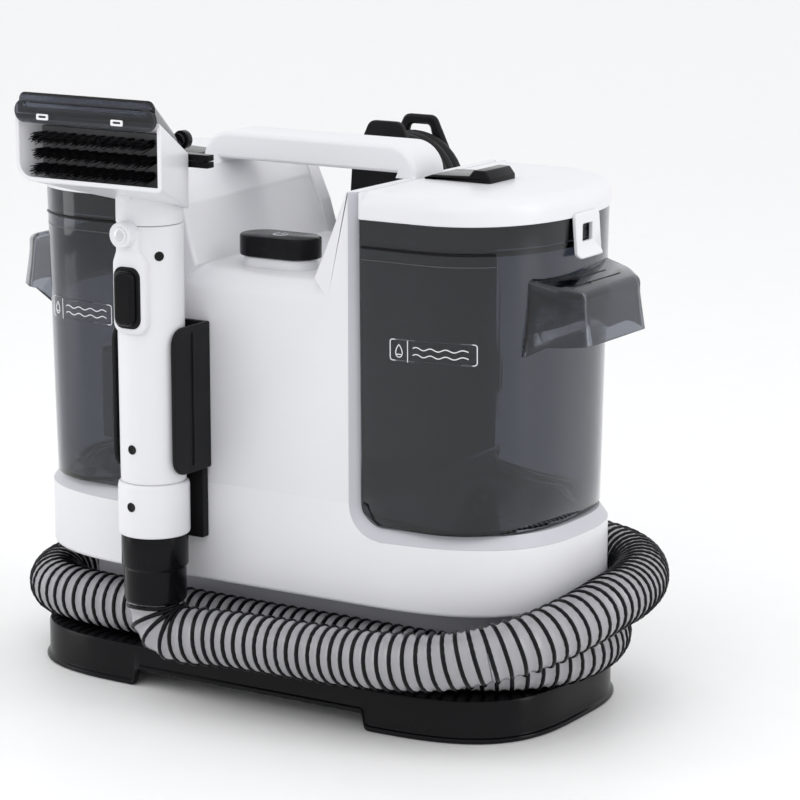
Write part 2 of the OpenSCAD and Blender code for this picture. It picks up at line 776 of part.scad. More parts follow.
// Inlet pipe with its splash hood on three ribs, the vent pipe, and the guide pin of the float
module dirty_standpipe() color("dimgray") {
    translate([pipe_x, pipe_y, 0]) {
        tube(15, 12, tank_floor, 250);
        difference() {
            translate([0, 0, 244]) cylinder(r = 18, h = 18);
            translate([0, 0, 243]) cylinder(r = 16.5, h = 16);
        }
        for (i = [0:2]) rotate(120 * i) box([13, -1, 246], [17, 1, 260]);
    }
    translate([vent_x, 0, 0]) tube(11, 9, tank_floor, 262);
    translate([float_x, float_y, tank_floor]) {
        cylinder(r = 4, h = 123);
        cylinder(r = 8, h = 13);
    }
    box([float_x, float_y + 2, 236], [pipe_x - 13.5, pipe_y, 239]);
}

module dirty_float() color("khaki") translate([float_x, float_y, 0]) difference() {
    slab(tank_floor + 14, 190) stadium(40, 30);
    translate([0, 0, 130]) cylinder(r = 4.08, h = 80);
}

// ---- Wand ----

collar_r = 21;
collar_low = 105.5;
collar_high = 137;
cuff_bottom = 64.6;
cuff_step = 22;
spigot_r = 17;
spigot_height = 12;
trigger_low = 232;
trigger_high = 264;
trigger_half = 7;
spine_front = wand_y - wand_r - 3;
trigger_front = spine_front - 5;
pocket_back = wand_y - wand_r + 6.5;

module on_wand() translate([wand_x, wand_y, 0]) children();

module trigger_pocket(clearance) box(
    [wand_x - trigger_half - clearance, trigger_front - 5, trigger_low - clearance],
    [wand_x + trigger_half + clearance, pocket_back, trigger_high + clearance]);

module wand_tube() color(white) difference() {
    on_wand() union() {
        translate([0, 0, collar_high]) cylinder(r = wand_r, h = wand_top - collar_high);
        translate([0, 0, wand_top - over]) cylinder(r = spigot_r, h = spigot_height + over);
    }
    on_wand() translate([0, 0, collar_high - over]) cylinder(r = wand_bore - 4, h = 200);
    trigger_pocket(gap);
    on_wand() rotate(32) rod_y(0, 280, 3, -wand_r - over, -wand_r + 2.5);
    rod_y(wand_x, plug_height, 3, wand_y - wand_r - over, wand_y - wand_r + 2);
}

module wand_collar() color(white) difference() {
    on_wand() tube(collar_r, wand_bore - 4, collar_low, collar_high);
    rod_y(wand_x, 118, 3, wand_y - collar_r - over, wand_y - collar_r + 3);
}

module hose_cuff() color(black) on_wand() difference() {
    union() {
        translate([0, 0, cuff_bottom]) cylinder(r = 18.4, h = cuff_step);
        translate([0, 0, cuff_bottom + cuff_step]) cylinder(r = 19.7, h = collar_low - cuff_bottom - cuff_step);
    }
    translate([0, 0, cuff_bottom - over]) cylinder(r = wand_bore - 4, h = 60);
}

// Rib down the front of the wand that frames the trigger and carries the spray boss
module wand_spine() color(white) difference() {
    union() {
        box([wand_x - 11, spine_front, trigger_low - 5], [wand_x + 11, wand_y, trigger_high + 5]);
        box([wand_x - 7, spine_front, trigger_high], [wand_x + 7, wand_y, wand_top - 1]);
        rod_y(wand_x - 1, 282, 7, spine_front - 5, wand_y);
    }
    on_wand() cylinder(r = wand_r, h = 400);
    trigger_pocket(gap);
    rod_y(wand_x - 1, 282, 3.5, spine_front - 6, spine_front - 3);
}

module trigger() color(black) box(
    [wand_x - trigger_half, trigger_front, trigger_low],
    [wand_x + trigger_half, pocket_back - trigger_travel - gap, trigger_high]);

plug_height = 154;

module wand_plugs() color("gray") {
    rod_y(wand_x, plug_height, 3, wand_y - wand_r, wand_y - wand_r + 2);
    rod_y(wand_x, 118, 2.4, wand_y - collar_r + 1.5, wand_y - collar_r + 3);
    on_wand() rotate(32) rod_y(0, 280, 2.6, -wand_r + 1, -wand_r + 2.5);
    rod_y(wand_x - 1, 282, 3.2, spine_front - 4.6, spine_front - 3);
}

// Water valve that the trigger works, in the bore of the wand
module water_valve() color("steelblue") on_wand() {
    translate([0, 0, 238]) cylinder(r = 6, h = 20);
    translate([0, 0, 140]) cylinder(r = 3, h = 98 + over);
}

// ---- Tool head ----

neck_low = wand_top + 0.2;
neck_high = 327;
throat_low = 296;       // where the hood starts to open out of the neck
mouth_frame = 3;

// The hood narrows from its wide mouth to the round neck
module hood(inset) hull() {
    on_wand() translate([0, 0, throat_low + inset])
        cylinder(r = wand_r - inset, h = neck_high - throat_low - 2 * inset, $fn = hull_fn);
    box([wand_x - mouth_half_width + inset, mouth_front - inset / 2, mouth_low + inset],
        [wand_x + mouth_half_width - inset, mouth_front + mouth_frame, mouth_high - inset]);
}

module head_shell() color(white) difference() {
    union() {
        hood(0);
        on_wand() translate([0, 0, neck_low]) cylinder(r = wand_r, h = 12);
    }
    hood(wall);
    on_wand() translate([0, 0, neck_low - over]) cylinder(r = spigot_r + 0.08, h = spigot_height + 3);
    rod_y(wand_x, button_height, 5.06, wand_y - 40, wand_y - 10);
}

nozzle_half = 49;

// The wedge above the hood that the suction nozzle fills
module nozzle_wedge(inset) hull() {
    box([wand_x - nozzle_half + 3 + inset, mouth_front - inset, mouth_high - 2 * inset],
        [wand_x + nozzle_half - 3 - inset, mouth_front + 6, mouth_high + 12 - inset]);
    box([wand_x - 17 + inset, wand_y + 8, neck_high - 2 * inset],
        [wand_x + 17 - inset, wand_y + 12 - inset, neck_high + 6 - inset]);
}

// Clear suction nozzle over the top of the hood, from its lips down to the neck
module suction_nozzle() color(smoke) difference() {
    union() {
        nozzle_wedge(0);
        along_y(mouth_front - 3, mouth_front) translate([wand_x, 356.5]) stadium(2 * nozzle_half, 13);
    }
    nozzle_wedge(2);
    hood(-gap);
    box([wand_x - nozzle_half + 8, mouth_front - 5, 359.5], [wand_x + nozzle_half - 8, mouth_front + 2, 362]);
    rod_y(knob_x, knob_z, 4.3, -110, -90);
}

knob_x = -34;
knob_z = 336;

module nozzle_knob() color(black) {
    rod_y(knob_x, knob_z, 4, -99, wand_y + 12);
    rod_y(knob_x, knob_z, 5.5, wand_y + 12, wand_y + 17);
}

button_height = 308;

// Button on the front of the neck that releases the head; pressed towards the back
module head_button() color("lightgray")
    rod_y(wand_x, button_height, 5, wand_y - wand_r - 4, wand_y - wand_r + 5);

plate_y = -151;
bristle_rows = [327, 336, 345];

module bristle_plate() color("dimgray") box([wand_x - 41, plate_y, 318], [wand_x + 41, plate_y + 2.5, 346.5]);

module bristles() color(black) for (z = bristle_rows, i = [0:tufts - 1])
    rod_y(wand_x - 38.5 + i * 77 / (tufts - 1), z, 2.2, mouth_front, plate_y);

base_pan();
hose_tray();
rubber_feet();
groove_wall();
front_housing();
rear_housing();
left_bay_liner();
right_bay_liner();
alcove_liner();
carry_handle();
housing_screws();
button_pedestal();
power_button();
power_switch();
control_board();
wand_holder();
hose_inlet();
suction_hose();
exhaust_grille();
upper_cord_hook();
lower_cord_hook();
strain_relief();
cord_leads();
cord_winding();
power_plug();
motor();
motor_mount();
fan_housing();
impeller();
water_pump();
air_duct();
suction_pipe();
clean_tank_shell();
clean_tank_grip();
clean_tank_lid();
clean_tank_seal();
clean_lid_latch();
clean_lid_clip();
clean_valve();
dirty_tank_shell();
dirty_tank_grip();
dirty_tank_lid();
dirty_tank_seal();
dirty_lid_latch();
dirty_lid_clip();
dirty_standpipe();
dirty_float();
wand_tube();
wand_collar();
hose_cuff();
trigger();
wand_spine();
wand_plugs();
water_valve();
head_shell();
suction_nozzle();
nozzle_knob();
head_button();
bristle_plate();
bristles();
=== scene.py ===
"""Looks of the portable carpet cleaner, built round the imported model. Lengths are in mm until a mesh is made."""

import json
import math
import random

import bmesh
import bpy
from mathutils import Matrix, Vector


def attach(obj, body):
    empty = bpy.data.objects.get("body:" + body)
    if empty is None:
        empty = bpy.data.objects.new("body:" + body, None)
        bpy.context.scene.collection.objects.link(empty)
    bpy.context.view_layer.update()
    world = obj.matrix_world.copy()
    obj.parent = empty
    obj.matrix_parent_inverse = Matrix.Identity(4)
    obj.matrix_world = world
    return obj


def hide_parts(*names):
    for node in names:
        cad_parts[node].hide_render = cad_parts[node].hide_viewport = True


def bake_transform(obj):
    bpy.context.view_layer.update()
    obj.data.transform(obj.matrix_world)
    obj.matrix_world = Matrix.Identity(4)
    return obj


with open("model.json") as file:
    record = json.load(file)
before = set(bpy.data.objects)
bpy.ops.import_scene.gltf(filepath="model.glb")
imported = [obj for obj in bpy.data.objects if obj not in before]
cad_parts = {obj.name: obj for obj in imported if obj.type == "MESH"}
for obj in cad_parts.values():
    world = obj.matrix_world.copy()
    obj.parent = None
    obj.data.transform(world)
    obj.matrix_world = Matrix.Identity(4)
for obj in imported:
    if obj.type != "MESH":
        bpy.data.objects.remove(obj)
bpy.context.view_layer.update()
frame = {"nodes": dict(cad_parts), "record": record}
MM = 0.001

# ---- Camera, lights and floor ----

TARGET = Vector((51.5, 4.8, 175))


def aimed(name, data, azimuth, elevation, distance):
    """A camera or light that looks at the target from a direction in degrees."""
    side, up = math.radians(azimuth), math.radians(elevation)
    place = TARGET + distance * Vector((math.sin(side) * math.cos(up), -math.cos(side) * math.cos(up), math.sin(up)))
    made = bpy.data.objects.new(name, data)
    bpy.context.scene.collection.objects.link(made)
    made.location = place * MM
    made.rotation_euler = (TARGET - place).to_track_quat("-Z", "Y").to_euler()
    return made


def area_light(name, azimuth, elevation, distance, size, power):
    data = bpy.data.lights.new(name, "AREA")
    data.shape = "RECTANGLE"
    data.size, data.size_y = (side * MM for side in size)
    data.energy = power
    aimed(name, data, azimuth, elevation, distance)


camera = bpy.data.cameras.new("camera")
camera.lens = 139.5
camera.clip_end = 50
bpy.context.scene.camera = aimed("camera", camera, 32, 12.1, 1850)
area_light("key", 10, 42, 1700, (1400, 1000), 4)
area_light("left", -62, 18, 1500, (500, 1300), 3)
area_light("right", 100, 22, 1500, (420, 1300), 4.5)
area_light("top", 60, 85, 1500, (1200, 1200), 0.8)

bpy.context.scene.view_settings.view_transform = "Standard"

world = bpy.data.worlds.new("studio")
bpy.context.scene.world = world
world.use_nodes = True
world.node_tree.nodes["Background"].inputs["Color"].default_value = (0.98, 0.985, 1, 1)
world.node_tree.nodes["Background"].inputs["Strength"].default_value = 1.0

# ---- Materials ----


class Nodes:
    """A node material whose numbers sit on the shader's own sockets, with texture nodes linked in."""

    def __init__(self, name, color, rough, **sockets):
        self.material = bpy.data.materials.new(name)
        self.material.use_nodes = True
        self.tree = self.material.node_tree
        self.shader = self.tree.nodes["Principled BSDF"]
        self.shader.inputs["Base Color"].default_value = (*color, 1)
        self.shader.inputs["Roughness"].default_value = rough
        for socket, value in sockets.items():
            self.shader.inputs[socket.replace("_", " ")].default_value = value
        self.coordinates = self.tree.nodes.new("ShaderNodeTexCoord")

    def noise(self, scale, detail=3, stretch=(1, 1, 1)):
        mapping = self.tree.nodes.new("ShaderNodeMapping")
        mapping.inputs["Scale"].default_value = stretch
        self.tree.links.new(self.coordinates.outputs["Object"], mapping.inputs["Vector"])
        texture = self.tree.nodes.new("ShaderNodeTexNoise")
        texture.inputs["Scale"].default_value = scale
        texture.inputs["Detail"].default_value = detail
        self.tree.links.new(mapping.outputs["Vector"], texture.inputs["Vector"])
        return texture.outputs["Fac"]

    def spread(self, value, low, high):
        """Maps a noise to a number between low and high."""
        ranged = self.tree.nodes.new("ShaderNodeMapRange")
        ranged.inputs["From Min"].default_value = 0.3
        ranged.inputs["From Max"].default_value = 0.7
        ranged.inputs["To Min"].default_value = low
        ranged.inputs["To Max"].default_value = high
        self.tree.links.new(value, ranged.inputs["Value"])
        return ranged.outputs["Result"]

    def color(self, value, low, high):
        ramp = self.tree.nodes.new("ShaderNodeValToRGB")
        ramp.color_ramp.elements[0].position, ramp.color_ramp.elements[1].position = 0.3, 0.7
        ramp.color_ramp.elements[0].color, ramp.color_ramp.elements[1].color = (*low, 1), (*high, 1)
        self.tree.links.new(value, ramp.inputs["Fac"])
        self.tree.links.new(ramp.outputs["Color"], self.shader.inputs["Base Color"])

    def rough(self, value, low, high):
        self.tree.links.new(self.spread(value, low, high), self.shader.inputs["Roughness"])

    def bump(self, value, height_mm):
        node = self.tree.nodes.new("ShaderNodeBump")
        node.inputs["Strength"].default_value = 1
        node.inputs["Distance"].default_value = height_mm * MM
        self.tree.links.new(value, node.inputs["Height"])
        self.tree.links.new(node.outputs["Normal"], self.shader.inputs["Normal"])


def plastic(name, color, rough, grain=0.02, spread=0.05, scale=900, **sockets):
    """Moulded plastic: a faint grain, patches of more and less shine, and a colour that drifts a little."""
    made = Nodes(name, color, rough, **sockets)
    darker = [c * (1 - spread) for c in color]
    made.color(made.noise(35), darker, color)
    made.rough(made.noise(60, 4), rough * 0.95, rough * 1.05)
    if grain:
        made.bump(made.noise(scale, 2), grain)
    return made.material


def clear(name, color, rough=0.015, transmission=1.0):
    """Smoked clear plastic with faint flow marks."""
    made = Nodes(name, color, rough, Transmission_Weight=transmission, IOR=1.46)
    made.color(made.noise(14, 2, (1, 1, 0.3)), [c * 0.93 for c in color], color)
    made.rough(made.noise(25), rough, rough * 1.4)
    return made.material


def brushed(name, color, rough):
    made = Nodes(name, color, rough, Metallic=1.0)
    made.rough(made.noise(400, 4, (1, 1, 12)), rough * 0.7, rough * 1.4)
    made.bump(made.noise(600, 2, (1, 1, 12)), 0.005)
    return made.material


WHITE = plastic("gloss_white", (0.73, 0.73, 0.755), 0.3, grain=0, spread=0.01, Specular_IOR_Level=0.4)
GREY = plastic("grey_trim", (0.52, 0.52, 0.56), 0.42, grain=0.005)
BLACK = plastic("black_plastic", (0.004, 0.004, 0.005), 0.2, grain=0.008, spread=0.2, Specular_IOR_Level=0.13)
SATIN = plastic("black_satin", (0.009, 0.009, 0.01), 0.4, grain=0.02, spread=0.2, scale=1500,
                Specular_IOR_Level=0.13)
DARK = plastic("dark_grey", (0.09, 0.09, 0.095), 0.5, grain=0.03)
RUBBER = plastic("rubber", (0.008, 0.008, 0.008), 0.7, grain=0.05, spread=0.25, Specular_IOR_Level=0.15)
CORD = plastic("cord_rubber", (0.010, 0.010, 0.011), 0.45, grain=0.03, spread=0.2, Specular_IOR_Level=0.2)
SMOKE = clear("smoked_clear", (0.19, 0.205, 0.24))
DARK_SMOKE = clear("smoked_nozzle", (0.12, 0.13, 0.16))
HOSE_WALL = clear("hose_wall", (0.66, 0.65, 0.68), 0.1, 0.5)
STEEL = brushed("steel", (0.62, 0.62, 0.64), 0.3)
ALLOY = brushed("impeller_metal", (0.75, 0.75, 0.77), 0.35)
BOARD = plastic("circuit_board", (0.02, 0.14, 0.05), 0.4, grain=0.05, spread=0.4)
FLOAT = plastic("float_plastic", (0.55, 0.54, 0.5), 0.5)
PRINT = plastic("white_print", (0.8, 0.8, 0.82), 0.5, grain=0.01)
FLOOR = plastic("floor", (0.93, 0.93, 0.925), 0.55, grain=0.01, spread=0.01)

BY_SLOT = {"gloss_white": WHITE, "grey_trim": GREY, "black_plastic": BLACK, "smoked_clear": SMOKE,
           "dark_grey": DARK, "rubber": RUBBER, "hose_plastic": HOSE_WALL, "cord_rubber": CORD,
           "steel": STEEL, "impeller_metal": ALLOY, "circuit_board": BOARD, "float_plastic": FLOAT}
for part in frame["record"]["subparts"]:
    node = frame["nodes"][part["node"]]
    node.data.materials.clear()
    node.data.materials.append(BY_SLOT[part["material_slot"]])

# ---- Meshes ----


def make(name, points, faces, material, body, stands_for=(), sharp=35):
    """A mesh object from points in mm, smooth apart from edges sharper than that many degrees."""
    mesh = bpy.data.meshes.new(name)
    mesh.from_pydata([Vector(p) * MM for p in points], [], faces)
    work = bmesh.new()
    work.from_mesh(mesh)
    bmesh.ops.remove_doubles(work, verts=work.verts, dist=1e-6)
    bmesh.ops.recalc_face_normals(work, faces=work.faces)
    work.to_mesh(mesh)
    work.free()
    for polygon in mesh.polygons:
        polygon.use_smooth = True
    mesh.set_sharp_from_angle(angle=math.radians(sharp))
    mesh.materials.append(material)
    piece = bpy.data.objects.new(name, mesh)
    bpy.context.scene.collection.objects.link(piece)
    if body:
        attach(piece, body)
        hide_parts(*stands_for)
    return piece


def bridge(rings, closed=True, ends=True):
    """(points, faces) of a skin over rings with equal numbers of points."""
    count = len(rings[0])
    points = [p for ring in rings for p in ring]
    faces = [(r * count + i, r * count + (i + 1) % count, (r + 1) * count + (i + 1) % count, (r + 1) * count + i)
             for r in range(len(rings) - 1) for i in range(count if closed else count - 1)]
    if ends:
        faces += [list(range(count))[::-1], [len(points) - count + i for i in range(count)]]
    return points, faces


def inward(outline):
    """The inward direction at each corner of a closed outline, scaled so that sides move by one."""
    area = sum(a[0] * b[1] - b[0] * a[1] for a, b in zip(outline, outline[1:] + outline[:1]))
    turn = 1 if area > 0 else -1
    result = []
    for before, here, after in zip(outline[-1:] + outline[:-1], outline, outline[1:] + outline[:1]):
        one = Vector((here[0] - before[0], here[1] - before[1])).normalized()
        two = Vector((after[0] - here[0], after[1] - here[1])).normalized()
        normal = Vector((-one.y - two.y, one.x + two.x)) * turn
        normal.normalize()
        across = max(normal.dot(Vector((-two.y, two.x)) * turn), 0.5)
        result.append(normal / across)
    return result


def ring_at(outline, normals, insets, level, axis):
    """The outline drawn in and placed at a level along an axis."""
    ring = []
    for (u, v), normal, inset in zip(outline, normals, insets):
        a, b = u + normal.x * inset, v + normal.y * inset
        ring.append({"x": (level, a, b), "y": (a, level, b), "z": (a, b, level)}[axis])
    return ring


def roll(radius, depth):
    """How far a rounded edge of that radius is drawn in at a depth below the end."""
    return radius - math.sqrt(max(radius ** 2 - (radius - depth) ** 2, 0)) if depth < radius else 0


def block(name, outline, low, high, axis, material, body, stands_for=(), low_round=1, high_round=1, steps=5):
    """An outline extruded along an axis with rolled edges; a radius is one number or one for each corner."""
    lows, highs = ([r] * len(outline) if isinstance(r, (int, float)) else r for r in (low_round, high_round))
    curve = [1 - math.cos(math.radians(90 * k / steps)) for k in range(steps + 1)]
    levels = [low + max(lows) * c for c in curve] + [high - max(highs) * c for c in reversed(curve)]
    normals = inward(outline)
    rings = [ring_at(outline, normals, [roll(a, level - low) + roll(b, high - level) for a, b in zip(lows, highs)],
                     level, axis) for level in levels]
    return make(name, *bridge(rings), material, body, stands_for)


def lathe(name, outline, profile, axis, material, body, stands_for=(), ends=True, sharp=35):
    """An outline carried along a profile of (level, inset) steps."""
    normals = inward(outline)
    rings = [ring_at(outline, normals, [inset] * len(outline), level, axis) for level, inset in profile]
    return make(name, *bridge(rings, ends=ends), material, body, stands_for, sharp)


def rounded(corners, radius, steps=6):
    """A closed outline with rounded corners; a corner may carry its own radius as a third number."""
    result = []
    count = len(corners)
    for i, corner in enumerate(corners):
        here = Vector(corner[:2])
        reach = corner[2] if len(corner) > 2 else radius
        to_before = (Vector(corners[i - 1][:2]) - here).normalized()
        to_after = (Vector(corners[(i + 1) % count][:2]) - here).normalized()
        half = to_before.angle(to_after) / 2
        if reach == 0 or half > math.radians(89):
            result.append(tuple(here))
            continue
        start, end = here + to_before * reach / math.tan(half), here + to_after * reach / math.tan(half)
        centre = here + (to_before + to_after).normalized() * reach / math.sin(half)
        first, last = start - centre, end - centre
        sweep = first.angle_signed(last)
        result += [tuple(centre + Matrix.Rotation(-sweep * k / steps, 2) @ first) for k in range(steps + 1)]
    return result


def circle(radius, centre=(0, 0), count=48):
    angles = [2 * math.pi * i / count for i in range(count)]
    return [(centre[0] + radius * math.cos(a), centre[1] + radius * math.sin(a)) for a in angles]


def stadium(length, width, centre=(0, 0)):
    """Outline with straight sides and round ends."""
    half, r = (length - width) / 2, width / 2
    return rounded([(centre[0] + sx * (half + r), centre[1] + sy * r, r - 0.01)
                    for sx, sy in ((-1, -1), (1, -1), (1, 1), (-1, 1))], r, 10)


def rectangle(x0, y0, x1, y1, radius):
    return rounded([(x0, y0), (x1, y0), (x1, y1), (x0, y1)], radius)


END_STEPS = 20


def quarter(a, b, power):
    """Quarter of a rounded oblong, from the top to the right; a power of 2 makes an ellipse."""
    return [(a * max(math.cos(t), 0) ** (2 / power), b * max(math.sin(t), 0) ** (2 / power))
            for t in (math.radians(90 - 90 * i / END_STEPS) for i in range(END_STEPS + 1))]


def right_end(start, tip, half, power):
    """Rounded right-hand end, from its front corner to its back corner."""
    curve = quarter(tip - start, half, power)
    return [(start + x, -y) for x, y in curve] + [(start + x, y) for x, y in reversed(curve[:-1])]


def oblong(start, tip, half, power):
    """Closed outline with two such ends."""
    end = right_end(start, tip, half, power)
    return end + [(-x, y) for x, y in reversed(end)]


def closed_wall(name, outline, low, high, thickness, material, body, stands_for):
    """An upright wall of even thickness inside an outline, open at the top and bottom."""
    profile = [(low, 0), (high, 0), (high, thickness), (low, thickness), (low, 0)]
    lathe(name, outline, profile, "z", material, body, stands_for, ends=False)


def turned(name, centre, profile, material, body, stands_for=(), axis="z"):
    """A round piece from (level, radius) steps about a line along an axis."""
    steps = [(level, 1 - radius) for level, radius in profile]
    return lathe(name, circle(1, centre), steps, axis, material, body, stands_for, sharp=30)


def window_frame(name, outer, hole, low, high, axis, material, body, stands_for=(), edge=0.6):
    """A plate with a hole and softened edges; both outlines have the same number of points."""
    steps = [(outer, edge, low), (outer, 0, low + edge), (outer, 0, high - edge), (outer, edge, high),
             (hole, -edge, high), (hole, 0, high - edge), (hole, 0, low + edge), (hole, -edge, low),
             (outer, edge, low)]
    rings = [ring_at(line, inward(line), [inset] * len(line), level, axis) for line, inset, level in steps]
    return make(name, *bridge(rings, ends=False), material, body, stands_for)


def marks(name, lines, radius, material, body):
    """Thin raised lines joined in one piece."""
    points, faces = [], []
    for line in lines:
        rings = [[p + radius * (u * math.cos(a) + w * math.sin(a)) for a in (k * math.pi / 3 for k in range(6))]
                 for p, u, w in frames([Vector(p) for p in line], (0.01, 0.02, 1))]
        some, sides = bridge(rings)
        faces += [[i + len(points) for i in face] for face in sides]
        points += some
    return make(name, points, faces, material, body, sharp=80)


lathe("floor", circle(16000, count=64), [(-0.4, 0), (-0.3, 0)], "z", FLOOR, None)

# ---- Hose and cord ----


def smooth_line(route, spacing):
    """Points at an even spacing along a smooth curve through a route."""
    ends = [Vector(p) for p in (route[0], *route, route[-1])]
    fine = []
    for a, b, c, d in zip(ends, ends[1:], ends[2:], ends[3:]):
        for t in (k / 24 for k in range(24)):
            fine.append(0.5 * (2 * b + (c - a) * t + (2 * a - 5 * b + 4 * c - d) * t * t
                               + (3 * b - a - 3 * c + d) * t ** 3))
    fine.append(ends[-1])
    lengths = [0]
    for a, b in zip(fine, fine[1:]):
        lengths.append(lengths[-1] + (b - a).length)
    count = round(lengths[-1] / spacing)
    line, index = [], 0
    for k in range(count + 1):
        want = lengths[-1] * k / count
        while index < len(fine) - 2 and lengths[index + 1] < want:
            index += 1
        share = (want - lengths[index]) / (lengths[index + 1] - lengths[index])
        line.append(fine[index].lerp(fine[index + 1], share))
    return line


def frames(line, first):
    """(point, side, other side) at each point of a line, carried along without twisting."""
    side, result = Vector(first), []
    for i, point in enumerate(line):
        along = (line[min(i + 1, len(line) - 1)] - line[max(i - 1, 0)]).normalized()
        side = (side - side.dot(along) * along).normalized()
        result.append((point, side, along.cross(side)))
    return result


def tube(name, line, radius, sides, material, **options):
    """A tube of even radius along a line."""
    angles = [2 * math.pi * k / sides for k in range(sides)]
    rings = [[point + radius * (u * math.cos(a) + w * math.sin(a)) for a in angles]
             for point, u, w in frames(line, (1, 0, 0))]
    return make(name, *bridge(rings), material, None, **options)


WAND = (-48, -108)     # axis of the wand
HOSE_ROUTE = [
    (*WAND, 64.3), (*WAND, 60), (-46, -108, 54), (-41, -108, 48), (-33, -107, 45), (-20, -106, 45),
    (0, -104, 46), (40, -103.5, 47), (80, -103.5, 48), (112, -102.5, 50), (141, -97, 52.5), (165, -85.5, 57.5),
    (184.5, -65.5, 63.5), (196.5, -38, 70), (200, -8, 74), (198.5, 20, 74.5), (191, 49.5, 75), (173, 78, 75),
    (147, 96, 75), (112, 103, 75), (70, 104, 74), (20, 104, 71), (-30, 104, 66), (-80, 103, 60),
    (-120, 98, 54), (-149, 86, 48.5), (-168, 66, 45.5), (-179, 42, 44.5), (-183, 14, 44), (-183, -14, 44),
    (-176, -38, 44), (-160, -57, 44), (-138, -66, 44), (-112, -69, 43.8), (-70, -68.5, 43.5), (-20, -68, 42.8),
    (40, -68, 42.8), (90, -68, 42.8), (122, -66, 42.8), (149, -55.5, 42.8), (168.5, -38, 42.8), (180, -12, 42.8),
    (180, 16, 42.8), (171, 41, 42.8), (153, 58, 42.8), (128, 67, 42.8), (100, 68, 42.8), (70, 68, 42.8)]
HOSE_RADIUS = 17.5
RIB_PITCH = 7.4
RIB_RADIUS = 1.4
WALL_DEPTH, WALL_WAVE = 1.5, 0.55      # how far the thin wall lies inside the rib, and how much it waves
STEPS_PER_RIB = 24
TAIL_LENGTH = 230      # stretch that follows the wand


def hose_stretch(name, frames_here, start_index):
    """The translucent corrugated wall and the black helical rib of one stretch of hose."""
    sides = 20
    rings = []
    for i, (point, u, w) in enumerate(frames_here[::3]):
        phase = 2 * math.pi * (start_index + 3 * i) / STEPS_PER_RIB
        ring = []
        for k in range(sides):
            angle = 2 * math.pi * k / sides
            r = HOSE_RADIUS - WALL_DEPTH - WALL_WAVE * math.cos(phase - angle + math.pi)
            ring.append(point + r * (u * math.cos(angle) + w * math.sin(angle)))
        rings.append(ring)
    wall = make(name, *bridge(rings), HOSE_WALL, None, sharp=80)
    coil = []
    for i, (point, u, w) in enumerate(frames_here):
        angle = 2 * math.pi * (start_index + i) / STEPS_PER_RIB
        coil.append(point + (HOSE_RADIUS - RIB_RADIUS) * (u * math.cos(angle) + w * math.sin(angle)))
    rib = tube(name + "_rib", coil, RIB_RADIUS, 6, BLACK, sharp=80)
    return wall, rib


hose_line = smooth_line(HOSE_ROUTE, RIB_PITCH / STEPS_PER_RIB)
hose_frames = frames(hose_line, (1, 0, 0))
TAIL = int(TAIL_LENGTH / (RIB_PITCH / STEPS_PER_RIB))
tail, tail_rib = hose_stretch("hose_tail", hose_frames[:TAIL + 1], 0)
hose, hose_rib = hose_stretch("hose", hose_frames[TAIL:], TAIL)
for piece in (tail, tail_rib):
    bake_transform(piece)
for piece in (hose, hose_rib):
    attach(piece, "machine")
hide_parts("suction_hose")

CORD_RADIUS = 4
HOOK_HIGH, HOOK_LOW, HOOK_RADIUS = 287, 157, 11.5
FIRST_LANE = 81        # middle of the turn nearest the housing
WOUND_RADIUS = 16      # middle of the innermost layer at the hooks
TURN_POINTS = 28
CHANGE = 0.2           # part of a turn in which the cord moves to the next lane or layer


def stadium_point(turn, radius):
    """(x, z) on a winding of that radius; turn 0 is the middle of its left side, going up."""
    straight, arc = HOOK_HIGH - HOOK_LOW, math.pi * radius
    along = (turn % 1) * 2 * (straight + arc)
    if along < straight / 2:
        return -radius, (HOOK_HIGH + HOOK_LOW) / 2 + along
    along -= straight / 2
    if along < arc:
        angle = math.pi - along / radius
        return radius * math.cos(angle), HOOK_HIGH + radius * math.sin(angle)
    along -= arc
    if along < straight:
        return radius, HOOK_HIGH - along
    along -= straight
    if along < arc:
        angle = -along / radius
        return radius * math.cos(angle), HOOK_LOW + radius * math.sin(angle)
    return -radius, HOOK_LOW + along - arc


LAYERS = [(0, 0, 3, 4), (1, 3, 1, 3), (2, 1, 3, 3)]    # layer, first lane, last lane, turns


def winding_points():
    """The wound cord, lane by lane and layer by layer, from the side where it comes in."""
    points = []
    for layer, first, last, turns in LAYERS:
        radius = WOUND_RADIUS + 2 * CORD_RADIUS * layer
        steps = turns * TURN_POINTS
        if layer == len(LAYERS) - 1:
            steps += TURN_POINTS * 45 // 100       # the last turn runs on to the side where the plug hangs
        for k in range(steps):
            turn = k / TURN_POINTS
            share = turn % 1
            change = max(share - 1 + CHANGE, 0) / CHANGE if turn < turns - 1 else 0
            lane = first + (math.floor(turn) + change) * (last - first) / max(turns - 1, 1)
            lane = max(min(lane, 3), 0)
            growing = (turn - turns + CHANGE) / CHANGE if turn > turns - CHANGE and layer < len(LAYERS) - 1 else 0
            x, z = stadium_point(turn, radius + 2 * CORD_RADIUS * max(growing, 0))
            points.append((x, FIRST_LANE + 2 * CORD_RADIUS * lane, z))
    return points


LEAD_IN = [(-52, 81, 132), (-52, 96, 132), (-52, 112, 132), (-52, 122, 134), (-52, 129, 140), (-51, 130, 150),
           (-49, 125, 160), (-47, 116, 168), (-45, 106, 175), (-43, 96, 183), (-40, 88, 193), (-33, 83, 204),
           (-22, 81, 213)]
LEAD_OUT = [(38, 105, 262), (40.5, 105, 248), (43, 104, 238), (48, 102, 229), (53, 99, 220), (56, 97, 211),
            (56, 97, 200)]


